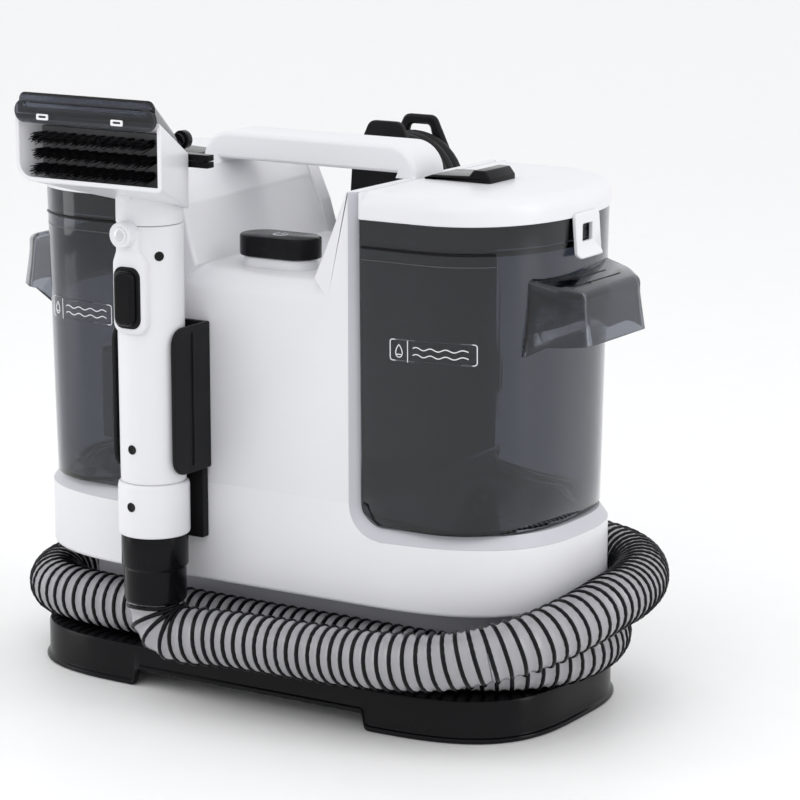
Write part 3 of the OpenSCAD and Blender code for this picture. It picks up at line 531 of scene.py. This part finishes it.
def curve_piece(name, points, radius, material, body):
    """A round cord as a Blender curve."""
    data = bpy.data.curves.new(name, "CURVE")
    data.dimensions = "3D"
    data.bevel_depth = radius * MM
    data.bevel_resolution = 4
    data.use_fill_caps = True
    data.materials.append(material)
    spline = data.splines.new("POLY")
    spline.points.add(len(points) - 1)
    for target, point in zip(spline.points, points):
        target.co = (*(Vector(point) * MM), 1)
    piece = bpy.data.objects.new(name, data)
    bpy.context.scene.collection.objects.link(piece)
    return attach(piece, body)


cord_line = smooth_line(LEAD_IN + winding_points()[1:] + LEAD_OUT, 4)
flex = curve_piece("power_cord", cord_line, CORD_RADIUS, CORD, "machine")
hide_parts("cord_leads", "cord_winding")

# ---- Base and housing ----

# Plans: where the rounded ends begin, how far they reach, half width and squareness.
BASE, HOUSING, GROOVE = (75, 178, 86, 3.2), (75, 180, 81, 2.7), (60, 160, 50, 2.7)


def with_points(outline, places):
    """The outline with extra corners where its sides cross each x in places."""
    result = []
    for a, b in zip(outline, outline[1:] + outline[:1]):
        result.append(a)
        between = [x for x in places if min(a[0], b[0]) + 0.2 < x < max(a[0], b[0]) - 0.2]
        for x in sorted(between, reverse=b[0] < a[0]):
            share = (x - a[0]) / (b[0] - a[0])
            result.append((x, a[1] + share * (b[1] - a[1])))
    return result


ARCH_LEFT, ARCH_RIGHT, ARCH_HEIGHT = -80, 84, 10
BASE_TOP = 25
ARCH_EDGE = [(-3, 0), (-2.4, 0.1), (-1.2, 0.8), (-0.6, 2), (0, 5), (0.6, 8), (1.2, 9.2), (2.4, 9.9), (3, 10)]


def arch(x):
    """Height of the base's lower edge at x, between its two feet."""
    for near, sign in ((ARCH_LEFT, 1), (ARCH_RIGHT, -1)):
        for (x0, z0), (x1, z1) in zip(ARCH_EDGE, ARCH_EDGE[1:]):
            if x0 <= (x - near) * sign <= x1:
                return z0 + (z1 - z0) * ((x - near) * sign - x0) / (x1 - x0)
    return ARCH_HEIGHT if ARCH_LEFT < x < ARCH_RIGHT else 0


def make_base():
    """Black base: a level top with a soft edge, and a flared foot that follows the arch."""
    places = [near + sign * x for near, sign in ((ARCH_LEFT, 1), (ARCH_RIGHT, -1)) for x, _ in ARCH_EDGE]
    outline = with_points(oblong(*BASE), places)
    normals = inward(outline)

    def ring(inset, height, follows_arch):
        level = [height + (arch(x) if follows_arch else 0) for x, _ in outline]
        return [(x + n.x * inset, y + n.y * inset, z) for (x, y), n, z in zip(outline, normals, level)]

    top = [(34, BASE_TOP), (2.2, BASE_TOP), (0.7, BASE_TOP - 0.5), (0, BASE_TOP - 2)]
    foot = [(0, 4.2), (-0.3, 3.2), (-1.6, 2.6), (-2, 1.8), (-2, 0.7), (-1.4, 0.05), (1.2, 0.05), (2, 1), (2.4, 5)]
    rings = [ring(inset, z, False) for inset, z in top] + [ring(inset, z, True) for inset, z in foot]
    rings += [ring(2.6, 17, False), ring(12, 17, False)]
    make("base", *bridge(rings), BLACK, "machine", ("base_pan", "hose_tray"))


LEDGE, TANK_FLOOR, TOWER_TOP = 119, 119.6, 312
EDGE = 112             # top edge of the white lower housing
TOWER_HALF, BAY_WALL, FRONT = 70.5, 75.5, -81
FILLET = 20            # corner between the tower and the ledge
BEVEL = 5


def corner_arc(x, z, radius, steps=8):
    """Points down a wall at x, round a corner and onto a floor at z."""
    return [(x + radius - radius * math.cos(math.radians(90 * k / steps)),
             z + radius - radius * math.sin(math.radians(90 * k / steps))) for k in range(steps + 1)]


def make_tower():
    """White tower: front and back outlines of its U shape, joined with rolled edges."""
    right = [(68.5, TOWER_TOP, 0), (59, 289, 8), (46, 260, 3)]
    front = right + [(-34, 260, 3), (-39, 275, 6), (-44, 295, 6), (-61.5, TOWER_TOP, 0)]
    back = right + [(-41, 260, 3), (-47, 280, 6), (-55, 298, 6), (-62, TOWER_TOP, 0)]
    foot = EDGE + 3
    sides = [(-TOWER_HALF, TOWER_TOP, 0), (-TOWER_HALF, foot, 0), (TOWER_HALF, foot, 0), (TOWER_HALF, TOWER_TOP, 0)]
    ends = [rounded(outline + sides, 3) for outline in (front, back)]
    depth, notch = 150, 69
    edge = [15 if z < 261 and -42 < x < 50 else 2.5 if z > foot and abs(x) < TOWER_HALF - 1 else 0.5
            for x, z in ends[0]]
    levels = [0, 0.15, 0.4, 0.8, 1.4, 2.2, 3.2, 5, 7.5, 10.5, 15, 60, depth - 3, depth - 1.2, depth - 0.4, depth]
    rings = []
    for level in levels:
        share = level / depth
        outline = [(a[0] + (b[0] - a[0]) * share, a[1]) for a, b in zip(*ends, strict=True)]
        insets = [roll(r, level) + roll(0.5, depth - level) for r in edge]
        rings.append(ring_at(outline, inward(outline), insets, FRONT + level, "y"))
    make("tower", *bridge(rings), WHITE, "machine", ("front_housing", "alcove_liner"))

    half, low = 39, 118
    opening = [(half, 260, 0), (half, low, 5), (-half, low, 5), (-half, 260, 0), (-41, 260, 0)]
    frame_outline = right + opening + [(-47, 280, 6), (-55, 298, 6), (-62, TOWER_TOP, 0)] + sides
    block("tower_back", rounded(frame_outline, 3), notch, -FRONT, "y", WHITE, "machine", ("rear_housing",),
          low_round=0.1, high_round=1.5)
    web = [(-90.5, EDGE - 1)] + [(-x, z) for x, z in corner_arc(TOWER_HALF, EDGE, FILLET)[::-1]]
    web += [(x, z) for x, z in corner_arc(TOWER_HALF, EDGE, FILLET)] + [(90.5, EDGE - 1)]
    for name, side in (("front_web", FRONT - 0.06), ("back_web", -FRONT - 0.24)):
        block(name, web, side, side + 0.3, "y", WHITE, "machine", low_round=0.02, high_round=0.02, steps=1)


def make_lower_housing():
    """White lower part of the housing, with an overhang above the hose's groove."""
    profile = [(EDGE, 8), (EDGE, 0.3), (EDGE - 0.3, 0), (74.5, 0), (73, 0.5), (72.2, 1.5), (72, 3), (72, 14),
               (78, 20)]
    lathe("lower_housing", oblong(*HOUSING), profile, "z", WHITE, "machine")


def make_bay(side):
    """Grey lining of a tank bay: a bevelled rim down the tower and round the ledge, and its surface."""
    end = right_end(*HOUSING)
    normals = inward(end + [(0, -FRONT), (0, FRONT)])

    def along_end(inset, level):
        return [(x + n.x * inset, y + n.y * inset, level) for (x, y), n in zip(end, normals) if x > 91]

    rows = []
    for inset, rise in ((0, 0), (BEVEL, LEDGE - EDGE)):
        wall = [(TOWER_HALF + inset, TOWER_TOP), *corner_arc(TOWER_HALF + inset, EDGE + rise, FILLET - inset)]
        front = [(x, FRONT + inset, z) for x, z in wall]
        rim = [p for p in along_end(inset, EDGE + rise) if p[1] <= 0]
        rows.append(front + rim)
    outer, inner = rows
    back = [[(x, -y, z) for x, y, z in row] for row in rows]
    rings = [[(side * x, y, z) for x, y, z in row] for row in (outer, inner, back[1], back[0])]
    points, faces = bridge(rings, closed=False, ends=False)
    name = "right_bay" if side > 0 else "left_bay"
    make(name, points, faces, GREY, "machine", (name + "_liner",))
    inside, outside = TOWER_HALF - 0.2, BAY_WALL + 0.06
    cap = [(inside, -80.7), (outside, -75.6), (outside, 75.6), (inside, 80.7)]
    block(name + "_top", [(side * x, y) for x, y in cap], 300, TOWER_TOP + 0.05, "z", WHITE, "machine",
          low_round=0.1, high_round=0.4)


make_base()
closed_wall("groove", oblong(*GROOVE), BASE_TOP, 72, 2.5, GREY, "machine", ("groove_wall",))
make_lower_housing()
make_tower()
for side in (1, -1):
    make_bay(side)

HANDLE = rounded([(-75.3, 311.8, 0), (-62, 311.8, 0), (-62, 314.5, 0), (62, 314.5, 0), (62, 311.8, 0),
                  (75.3, 311.8, 0), (75.3, 331, 18), (-75.3, 331, 18)], 3, 12)
handle_edge = [0.05 if z < 312 else 3.2 for _, z in HANDLE]
block("handle", HANDLE, -17, 17, "y", WHITE, "machine", ("carry_handle",), low_round=handle_edge,
      high_round=handle_edge, steps=6)

# ---- Power button ----

BUTTON = (5, -52)


def make_button():
    """White pedestal and the black button, hollow underneath so that it can sink over it."""
    block("pedestal", stadium(47, 23, BUTTON), 259.5, 265.9, "z", WHITE, "machine", ("button_pedestal",),
          low_round=0.1, high_round=0.8)
    steps = [(271, 2), (266.8, 2), (266.3, 1.6), (266.3, 0.6), (266.6, 0.15), (267.2, 0), (277.4, 0), (278, 0.2),
             (278.5, 0.7), (278.7, 1.3)]
    lathe("button", stadium(52, 28, BUTTON), steps, "z", BLACK, "power_button", ("power_button",), sharp=40)


def button_icon():
    """Power symbol: a thin ring, open at the back, with a short bar."""
    top = 278.75
    arc = [Vector((BUTTON[0] + 4.2 * math.sin(t), BUTTON[1] + 4.2 * math.cos(t), top))
           for t in (math.radians(35 + 290 * k / 30) for k in range(31))]
    bar = [Vector((BUTTON[0], BUTTON[1] + y, top)) for y in (1.2, 3, 5.4)]
    for name, line in (("icon_ring", arc), ("icon_bar", bar)):
        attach(tube(name, line, 0.4, 8, GREY), "power_button")


make_button()
button_icon()

# ---- Tanks ----

TANK_FLAT, TANK_TOP, LID_TOP = 76.5, 297, 312.5
TANK_BEND, TANK_POWER = 115, 2.3      # where the rounded end begins, and how square it is
FOOT_RADIUS = 14       # foot of the flat side
TANKS = ((1, "clean"), (-1, "dirty"))


def tank_size(level):
    """(how far out the end reaches, half width) of a tank's outside, which widens towards the top."""
    share = (level - TANK_FLOOR) / (TANK_TOP - TANK_FLOOR)
    return 173.5 + 3.5 * share, 78.6 + 2.2 * share


def tank_side(x, level=230):
    """Half width of a tank at x, on its outside."""
    end, half = tank_size(level)
    return half * (1 - (max(x - TANK_BEND, 0) / (end - TANK_BEND)) ** TANK_POWER) ** (1 / TANK_POWER)


def tank_reach(y, level=230):
    """How far out a tank's rounded end reaches at y."""
    end, half = tank_size(level)
    return TANK_BEND + (end - TANK_BEND) * (1 - (abs(y) / half) ** TANK_POWER) ** (1 / TANK_POWER)


def tank_plan(end, half, flat=TANK_FLAT, corner=2.5):
    """Plan of a tank: a flat side towards the tower, straight flanks and a rounded end."""
    curve = right_end(TANK_BEND, end, half, TANK_POWER)
    flank = [(x, -half) for x in (108, 98, 88)]
    inner = rounded([(flat, half, corner), (flat, -half, corner), (100, -half, 0), (100, half, 0)], corner)
    near = [p for p in inner if p[0] < flat + corner + 0.01]
    return curve + [(x, -y) for x, y in flank] + near + flank[::-1]


def tank_ring(inset, level, side):
    """The tank's wall at a level; the foot of its flat side is rolled up."""
    outline = tank_plan(*tank_size(level))
    ring = []
    for (x, y), n in zip(outline, inward(outline)):
        nearness = max(0, 1 - (x - TANK_FLAT) / FOOT_RADIUS)
        rise = FOOT_RADIUS * (1 - math.sqrt(max(1 - nearness ** 2, 0))) if level < TANK_FLOOR + 20 else 0
        ring.append((side * (x + n.x * inset), y + n.y * inset, level + rise))
    return ring


def make_tank(side, word):
    """Clear tank, white lid with its skirt, and the sliding latch on top."""
    body, wall = word + "_tank", 2.2
    profile = [(3, TANK_FLOOR), (0.8, TANK_FLOOR + 0.3), (0, TANK_FLOOR + 1.5), (0, TANK_FLOOR + 22), (0, 200),
               (0, TANK_TOP), (wall, TANK_TOP), (wall, 200), (wall, TANK_FLOOR + 22), (wall, TANK_FLOOR + 3.5),
               (4, TANK_FLOOR + 2.6)]
    rings = [tank_ring(inset, level, side) for inset, level in profile]
    make(word + "_tank_wall", *bridge(rings), SMOKE, body, (word + "_tank_shell",), sharp=50)

    lid = [(side * x, y) for x, y in tank_plan(178, 81.8, TANK_FLAT + 0.1, 3)]
    edge = [1.5 if abs(x) < TANK_FLAT + 3 else 9 for x, _ in lid]
    block(word + "_lid", lid, TANK_TOP + 0.2, LID_TOP, "z", WHITE, word + "_lid", (word + "_tank_lid",),
          low_round=0.6, high_round=edge, steps=8)
    skirt = [(side * x, y) for x, y in tank_plan(173.6, 77.4, TANK_FLAT + 2.4, 1)]
    closed_wall(word + "_lid_skirt", skirt, 284, TANK_TOP + 0.4, 2, DARK, word + "_lid", ())
    latch = [(80, 312.6, 0), (124, 312.6, 0), (124, 315.4, 1), (120.5, 319.8, 1.5), (113, 319.8, 1.5),
             (110, 316.2, 2), (85, 315.2, 2), (80, 313.4, 0)]
    block(word + "_latch_wedge", [(side * x, z) for x, z in rounded(latch, 1)], -15, 15, "y", BLACK, word + "_latch",
          (word + "_lid_latch",), low_round=1.2, high_round=1.2)


for side, word in TANKS:
    make_tank(side, word)

# ---- Tank grips, clips and labels ----

GRIP_LOW, GRIP_TOP, GRIP_SLOPE, GRIP_WALL = 229, 266, math.tan(math.radians(14)), 2.4


def grip_height(x):
    """Height of a grip's sloping roof at x."""
    return GRIP_TOP - (x - 170) * GRIP_SLOPE


def make_grip(side, word):
    """Open hood under which the fingers lift a tank, hanging from the tank's wall."""
    hood = rounded([(166, -46.5, 0), (185, -44, 15), (197.5, -33, 7), (197.5, 33, 7), (185, 44, 15),
                    (166, 46.5, 0)], 5)
    outline = hood + [(170, y) for y in range(42, -43, -6)]
    normals = inward(outline)
    normals[0], normals[len(hood) - 1] = Vector((0, 1)), Vector((0, -1))

    def ring(inset, drop, from_top):
        result = []
        for i, ((x, y), n) in enumerate(zip(outline, normals)):
            if i < len(hood):
                x, y = x + n.x * inset, y + n.y * inset
            if i == 0 or i >= len(hood) - 1:
                x = tank_reach(y) + 0.4
            low = GRIP_LOW - 9 * max(0, 1 - (x - 165) / 14) ** 2
            result.append((side * x, y, (grip_height(x) if from_top else low) + drop))
        return result

    steps = [(5, -GRIP_WALL, True), (GRIP_WALL + 0.6, -3.4, True), (GRIP_WALL, -5.5, True),
             (GRIP_WALL - 1.6, 10, False), (GRIP_WALL - 3, 0, False), (-3.2, 0, False), (-2.8, 2, False),
             (-1, 14, False), (0, -9, True), (0, -3.5, True), (0.5, -1.8, True), (1.6, -0.6, True), (3.5, 0, True)]
    make(word + "_grip", *bridge([ring(*step) for step in steps]), SMOKE, word + "_tank", (word + "_tank_grip",), 50)
    grooves = [[(side * x, y, grip_height(x) + 0.05) for y in range(-reach, reach + 1, 4)]
               for x, reach in ((181, 20), (188, 24))]
    marks(word + "_grip_grooves", grooves, 0.4, BLACK, word + "_tank")


def make_clip(side, word):
    """Snap clip of a lid, with a square hole and a foot that flares out."""
    outer, hole = rectangle(-14, 274, 14, 299.6, 3), rectangle(-5.8, 283, 5.8, 293, 1)
    rings = []
    for line, inset, out in ((outer, 0.4, 0), (outer, 0, 0.4), (outer, 0, 2), (outer, 0.7, 2.6), (hole, -0.5, 2.6),
                             (hole, 0, 2), (hole, 0, 0.4), (hole, -0.3, 0), (outer, 0.4, 0)):
        ring = []
        for (y, z), n in zip(line, inward(line)):
            flare = 3.4 * max(0, (282 - z) / 8) ** 1.6
            ring.append((side * (177.4 + out + flare), y + n.x * inset, z + n.y * inset))
        rings.append(ring)
    make(word + "_clip", *bridge(rings, ends=False), WHITE, word + "_clip", (word + "_lid_clip",))


LABEL_ENDS = (98, 149)


def label_lines():
    """A frame with a divider, a water drop and two plain waves, as (x, z) lines."""
    frame_line = rectangle(LABEL_ENDS[0], 219, LABEL_ENDS[1], 231, 1.6)
    drop = [(103.8 + 2.7 * math.sin(t) * math.sin(t / 2) ** 0.8, 224.6 - 3.6 * math.cos(t + math.pi))
            for t in (2 * math.pi * k / 24 for k in range(25))]
    ripple = [(103.8 + x, 222.6 - 0.02 * x * x) for x in (-1.4, -0.7, 0, 0.7, 1.4)]
    waves = [[(x, z + 0.7 * math.sin((x - 113) * 0.7)) for x in range(113, 146)] for z in (223, 227)]
    return [frame_line + frame_line[:2], [(109.5, 218.5), (109.5, 231)], drop, ripple] + waves


def make_label(side, word):
    """Printed label and the two rim lines on the front of a tank; the drop is on the left of both."""
    left, right = LABEL_ENDS
    lines = []
    for line in label_lines():
        across = [(x if side > 0 else left + right - x, z) for x, z in line]
        lines.append([(side * x, -tank_side(x, z) - 0.1, z) for x, z in across])
    marks(word + "_label", lines, 0.32, PRINT, word + "_tank")
    for level, radius, material in ((281.5, 0.9, BLACK), (274.5, 0.2, DARK)):
        rim = [(side * x, -tank_side(x, level), level) for x in range(79, 160, 3)]
        marks("%s_rim_%d" % (word, level), [rim], radius, material, word + "_tank")


for side, word in TANKS:
    make_grip(side, word)
    make_clip(side, word)
    make_label(side, word)

# ---- Wand ----

GRIP_TUBE = [(137.2, 16), (137.2, 18.4), (137.8, 19), (139, 19.2), (160, 19.3), (250, 19.5), (287.6, 19.5),
             (288.6, 19.2), (289, 18.6), (289, 17), (300.4, 17), (301, 16.4), (301, 11)]
COLLAR = [(105.5, 17), (105.5, 20.2), (106.1, 20.8), (107.1, 21), (134, 21), (136, 20.6), (136.9, 19.8),
          (137.1, 19)]
CUFF = [(64.6, 15), (64.6, 17.6), (65.4, 18.2), (66.6, 18.4), (84.6, 18.4), (85.4, 18.9), (86.3, 19.5),
        (87.1, 19.7), (104.4, 19.7), (105.2, 19.4), (105.4, 18.8), (105.4, 14)]
turned("wand_grip", WAND, GRIP_TUBE, WHITE, "wand", ("wand_tube",))
turned("collar", WAND, COLLAR, WHITE, "wand", ("wand_collar",))
turned("cuff", WAND, CUFF, BLACK, "wand", ("hose_cuff",))


def wand_screw(name, angle, level, shaft, stands_for=()):
    """Dark screw recess on the side of the wand that faces angle, measured from the front."""
    out = Vector((math.sin(math.radians(angle)), -math.cos(math.radians(angle)), 0))
    along = Vector((-out.y, out.x, 0))
    rings = []
    for rise, radius in ((-1, 2.8), (0.25, 2.8), (0.35, 2.5), (0.2, 2.2), (0.15, 0.05)):
        centre = Vector((*WAND, level)) + out * (shaft + rise)
        rings.append([centre + radius * (along * math.cos(t) + Vector((0, 0, math.sin(t))))
                      for t in (math.radians(15 * k) for k in range(24))])
    make(name, *bridge(rings), SATIN, "wand", stands_for)


wand_screw("collar_screw", -3, 124, 21)
wand_screw("grip_screw", -3, 158, 19.3, ("wand_plugs",))
wand_screw("boss_screw", 52, 272, 19.5)
SPINE = [(-59.5, 226, 7), (-36.5, 226, 7), (-36.5, 268, 7), (-41.5, 276, 5), (-41.5, 288, 2), (-56.5, 288, 2),
         (-56.5, 276, 5), (-59.5, 268, 7)]
block("spine", rounded(SPINE, 5), -130.5, -112, "y", WHITE, "wand", ("wand_spine",), low_round=3.5,
      high_round=0.1)
BOSS = (-49.5, 284.5)
turned("spray_boss", BOSS, [(-135.4, 1.5), (-135.4, 4.8), (-134.8, 5), (-135, 6.6), (-134.3, 7.4), (-133, 7.6),
                            (-124, 7.6)], WHITE, "wand", axis="y")
turned("spray_screw", BOSS, [(-135.8, 0.8), (-135.9, 2.6), (-135.5, 3.4), (-134.6, 3.5)], STEEL, "wand", axis="y")
block("trigger_bezel", rectangle(-57.2, 230, -38.8, 266, 6), -131.4, -129, "y", SATIN, "wand", low_round=0.8,
      high_round=0.1)
block("trigger", rectangle(-55, 232, -41, 264, 5), -135.5, -120, "y", BLACK, "trigger", ("trigger",),
      low_round=2.6, high_round=0.2, steps=7)

# ---- Holder ----

HOLDER_LOW, HOLDER_TOP = 142, 229
CHEEK_APART = 21.2     # from the wand's axis to the middle of a cheek


def make_cheek(name, middle, stands_for=()):
    """Side of the channel that holds the wand, with a thin ridge down its outside."""
    cheek = rounded([(FRONT - 0.2, HOLDER_LOW, 1), (FRONT - 0.2, HOLDER_TOP, 1), (-117, HOLDER_TOP, 10),
                     (-117, HOLDER_LOW, 10)], 3)
    block(name, cheek, middle - 1.25, middle + 1.25, "x", SATIN, "machine", stands_for, low_round=0.7,
          high_round=0.7)
    ridge = rounded([(-99.3, HOLDER_LOW + 4), (-99.3, HOLDER_TOP - 4), (-97.3, HOLDER_TOP - 4),
                     (-97.3, HOLDER_LOW + 4)], 0)
    outside = middle + (1.1 if middle > WAND[0] else -2.1)
    block(name + "_ridge", ridge, outside, outside + 1, "x", SATIN, "machine", low_round=0.4, high_round=0.4)


make_cheek("left_cheek", WAND[0] - CHEEK_APART, ("wand_holder",))
make_cheek("right_cheek", WAND[0] + CHEEK_APART)
block("holder_back", rectangle(-70.2, HOLDER_LOW, -25.8, HOLDER_TOP, 1), -84.2, -81.2, "y", SATIN, "machine",
      low_round=0.6, high_round=0.1)
window_frame("holder_tongue", rectangle(-68, 99, -28, HOLDER_LOW, 2), rectangle(-53, 112, -43, 137, 1), -86.2,
             -81.2, "y", SATIN, "machine")
block("snap_tab", rectangle(-52, 109, -44, 136.4, 1), -85.4, -82.2, "y", SATIN, "machine")

# ---- Tool head ----

MOUTH = [(-51, 316.5, 11), (51, 316.5, 3), (51, 355, 1.5), (-51, 355, 1.5)]
HEAD_BACK = [(-19.4, 296.5, 4), (19.4, 296.5, 2), (19.4, 329, 1.5), (-19.4, 329, 1.5)]
MOUTH_FRONT, HEAD_REAR = -165, -95.5


def head_ring(share, inset):
    """Outline of the hood between its mouth and its narrow back."""
    mouth, back = rounded(MOUTH, 5), rounded(HEAD_BACK, 5)
    outline = [(a[0] + (b[0] - a[0]) * share, a[1] + (b[1] - a[1]) * share) for a, b in zip(mouth, back)]
    y = MOUTH_FRONT + (HEAD_REAR - MOUTH_FRONT) * share
    return [(WAND[0] + x + n.x * inset, y, z + n.y * inset) for (x, z), n in zip(outline, inward(outline))]


def make_head():
    """White hood, the neck under it, its release button and the two catches behind."""
    steps = [(0.3, 2.6), (0.2, 2.6), (0.004, 2.6), (0, 2.2), (0, 0.5), (0.006, 0), (0.3, 0), (0.6, 0), (0.98, 0),
             (0.995, 0.4), (1, 1.2)]
    make("head", *bridge([head_ring(*step) for step in steps]), WHITE, "tool_head", ("head_shell",), sharp=30)
    turned("neck", WAND, [(320, 12), (318, 19.3), (290.6, 19.4), (289.6, 19.2), (289.2, 18.4), (289.2, 17.2)], WHITE,
           "tool_head")
    turned("release_button", (WAND[0], 308), [(-131.6, 0.6), (-131.6, 3), (-131.2, 3.6), (-130.4, 4), (-124, 4)],
           WHITE, "head_button", ("head_button",), axis="y")
    for index, level in enumerate((320.6, 324.6)):
        block("head_catch_%d" % index, rectangle(-46, level, -15.5, level + 3.6, 0.6), -95.3, -89, "y", BLACK,
              "tool_head", low_round=0.3, high_round=0.3)


def make_nozzle():
    """Clear suction nozzle on top of the hood, with a slot in its front flange."""
    plate = stadium(98, 13, (WAND[0], 356.5))
    slot = stadium(84, 2.4, (WAND[0], 360.2))
    window_frame("nozzle_flange", plate, slot, -168, -165.1, "y", DARK_SMOKE, "tool_head", ("suction_nozzle",),
                 edge=0.5)

    def ring(share, inset):
        """Section of the wedge: wide and high at the mouth, narrow and low at the back."""
        half = 47.5 - 30.5 * share - inset
        low, high = 355.4 - 26 * share + inset, 367 - 33.5 * share - inset
        corner = 4.5 - 2.5 * share
        section = rounded([(-half, low, 1), (half, low, 1), (half, high, corner), (-half, high, corner)], 1)
        return [(WAND[0] + x, MOUTH_FRONT + (68 - inset) * share, z) for x, z in section]

    rings = [ring(0.97, 1.6), ring(0.5, 1.6), ring(0, 1.6), ring(0, 0), ring(0.5, 0), ring(1, 0)]
    make("nozzle", *bridge(rings), DARK_SMOKE, "tool_head", sharp=30)
    for index, x in enumerate((-76.5, -24.5)):
        window_frame("nozzle_tab_%d" % index, rectangle(x - 4.2, 352.2, x + 4.2, 355.6, 0.8),
                     rectangle(x - 2.6, 353.4, x + 2.6, 354.6, 0.4), -168.7, -167.9, "y", PRINT, "tool_head",
                     edge=0.2)
    turned("knob", (-34, 336), [(-99, 4), (-96, 4), (-95.9, 5), (-95.4, 5.5), (-91.8, 5.5), (-91.1, 5.1), (-91, 3)],
           BLACK, "tool_head", ("nozzle_knob",), axis="y")


def make_bristles():
    """Staggered rows of splayed tufts on a dark grey plate; the plate's grey is a painted reflection."""
    plate = rounded([(-89, 317, 7), (-7, 317, 2), (-7, 347), (-89, 347)], 1)
    # The plate's dark grey, lighter than the black plastic, is a painted reflection of the light seen between the
    # rows of tufts.
    block("brush_plate", plate, -153, -151, "y", DARK, "tool_head", ("bristle_plate",), low_round=0.4,
          high_round=0.1)
    draw = random.Random(5)
    golden_turn, strands, tuft = 2.4, 26, 1.9      # strands are spread over a disc of the tuft's radius
    points, faces = [], []
    for row, level in enumerate((324, 333, 342)):
        for k in range(12):
            x = -86 + 6.8 * k + (1.6 if row == 1 else 0)
            for strand in range(strands):
                turn, reach = golden_turn * strand, math.sqrt(strand / strands)
                root = Vector((x + tuft * reach * math.cos(turn), -151.2, level + tuft * reach * math.sin(turn)))
                splay = 2.0 * reach + draw.uniform(-0.5, 0.5)
                tip = Vector((x + (tuft + splay) * reach * math.cos(turn), -164.6 + draw.uniform(-0.6, 1.2),
                              level - 0.8 + (tuft + splay) * reach * math.sin(turn)))
                base = len(points)
                for end, r in ((root, 0.42), (tip, 0.3)):
                    points += [end + Vector((r * math.cos(a), 0, r * math.sin(a))) for a in (0, 2.09, 4.19)]
                faces += [[base + i, base + (i + 1) % 3, base + 3 + (i + 1) % 3, base + 3 + i] for i in range(3)]
                faces += [[base + 2, base + 1, base], [base + 3, base + 4, base + 5]]
    make("tufts", points, faces, BLACK, "tool_head", ("bristles",), sharp=80)


make_head()
make_nozzle()
make_bristles()

# ---- Cord winder and plug ----


def hook_ear(name, level, up, tall, low, opening, stands_for=()):
    """Flat end of a cord hook; the outer one is an open loop."""
    shape = [(-26, -11, 6), (26, -11, 6), (24, tall - 27, 8), (11, tall, 6), (-11, tall, 6), (-24, tall - 27, 8)]
    hole = [(-13.5, 15.5), (13.5, 15.5), (12, tall - 25), (7, tall - 6), (-7, tall - 6), (-12, tall - 25)]
    outer, inner = ([(x, level + up * z) for x, z in rounded(line, 3)] for line in (shape, hole))
    if opening:
        window_frame(name, outer, inner, low, low + 4.5, "y", SATIN, "machine", stands_for, edge=1.4)
    else:
        block(name, outer, low, low + 4.5, "y", SATIN, "machine", stands_for, low_round=1, high_round=1.4)


for word, level, up, tall in (("upper", HOOK_HIGH, 1, 45), ("lower", HOOK_LOW, -1, 38)):
    hook_ear(word + "_inner_ear", level, up, tall, 69.2, False, (word + "_cord_hook",))
    hook_ear(word + "_outer_ear", level, up, tall, 109.6, True)
    turned(word + "_hook_post", (0, level), [(70, HOOK_RADIUS), (110, HOOK_RADIUS)], SATIN, "machine", axis="y")


def ribs(start, pitch, radius, taper, groove, count=6):
    """Profile of a flexing sleeve: ribs that get thinner, with the grooves between them."""
    return [(start + pitch * (k + part), radius - taper * k - depth) for k in range(count)
            for part, depth in groove]


RELIEF = [(76, 6), (81, 6), (81.1, 8.2), (81.6, 8.5), (83.4, 8.5), (84, 8)]
RELIEF += ribs(85, 4.4, 6, 0.22, ((0, 0), (2.4 / 4.4, 0), (2.8 / 4.4, 1), (4 / 4.4, 1))) + [(111, 4.7), (111, 4)]
turned("relief", LEAD_IN[0][::2], RELIEF, RUBBER, "machine", ("strain_relief",), axis="y")
PLUG = [(166, 9), (166, 11), (166.8, 12), (184, 12), (186, 11.4), (187, 9)]
PLUG += ribs(188, 2, 8.6, 0.55, ((0, 0), (0.6, 0), (0.7, 0.8), (1, 0.8))) + [(200, 4.2)]
plug_x, plug_y, _ = LEAD_OUT[-1]
turned("plug", (plug_x, plug_y), PLUG, RUBBER, "machine", ("power_plug",))
for index, x in enumerate((plug_x - 6, plug_x + 6)):
    turned("plug_pin_%d" % index, (x, plug_y), [(148.2, 0.8), (148.9, 1.7), (150, 2), (167, 2)], STEEL, "machine")
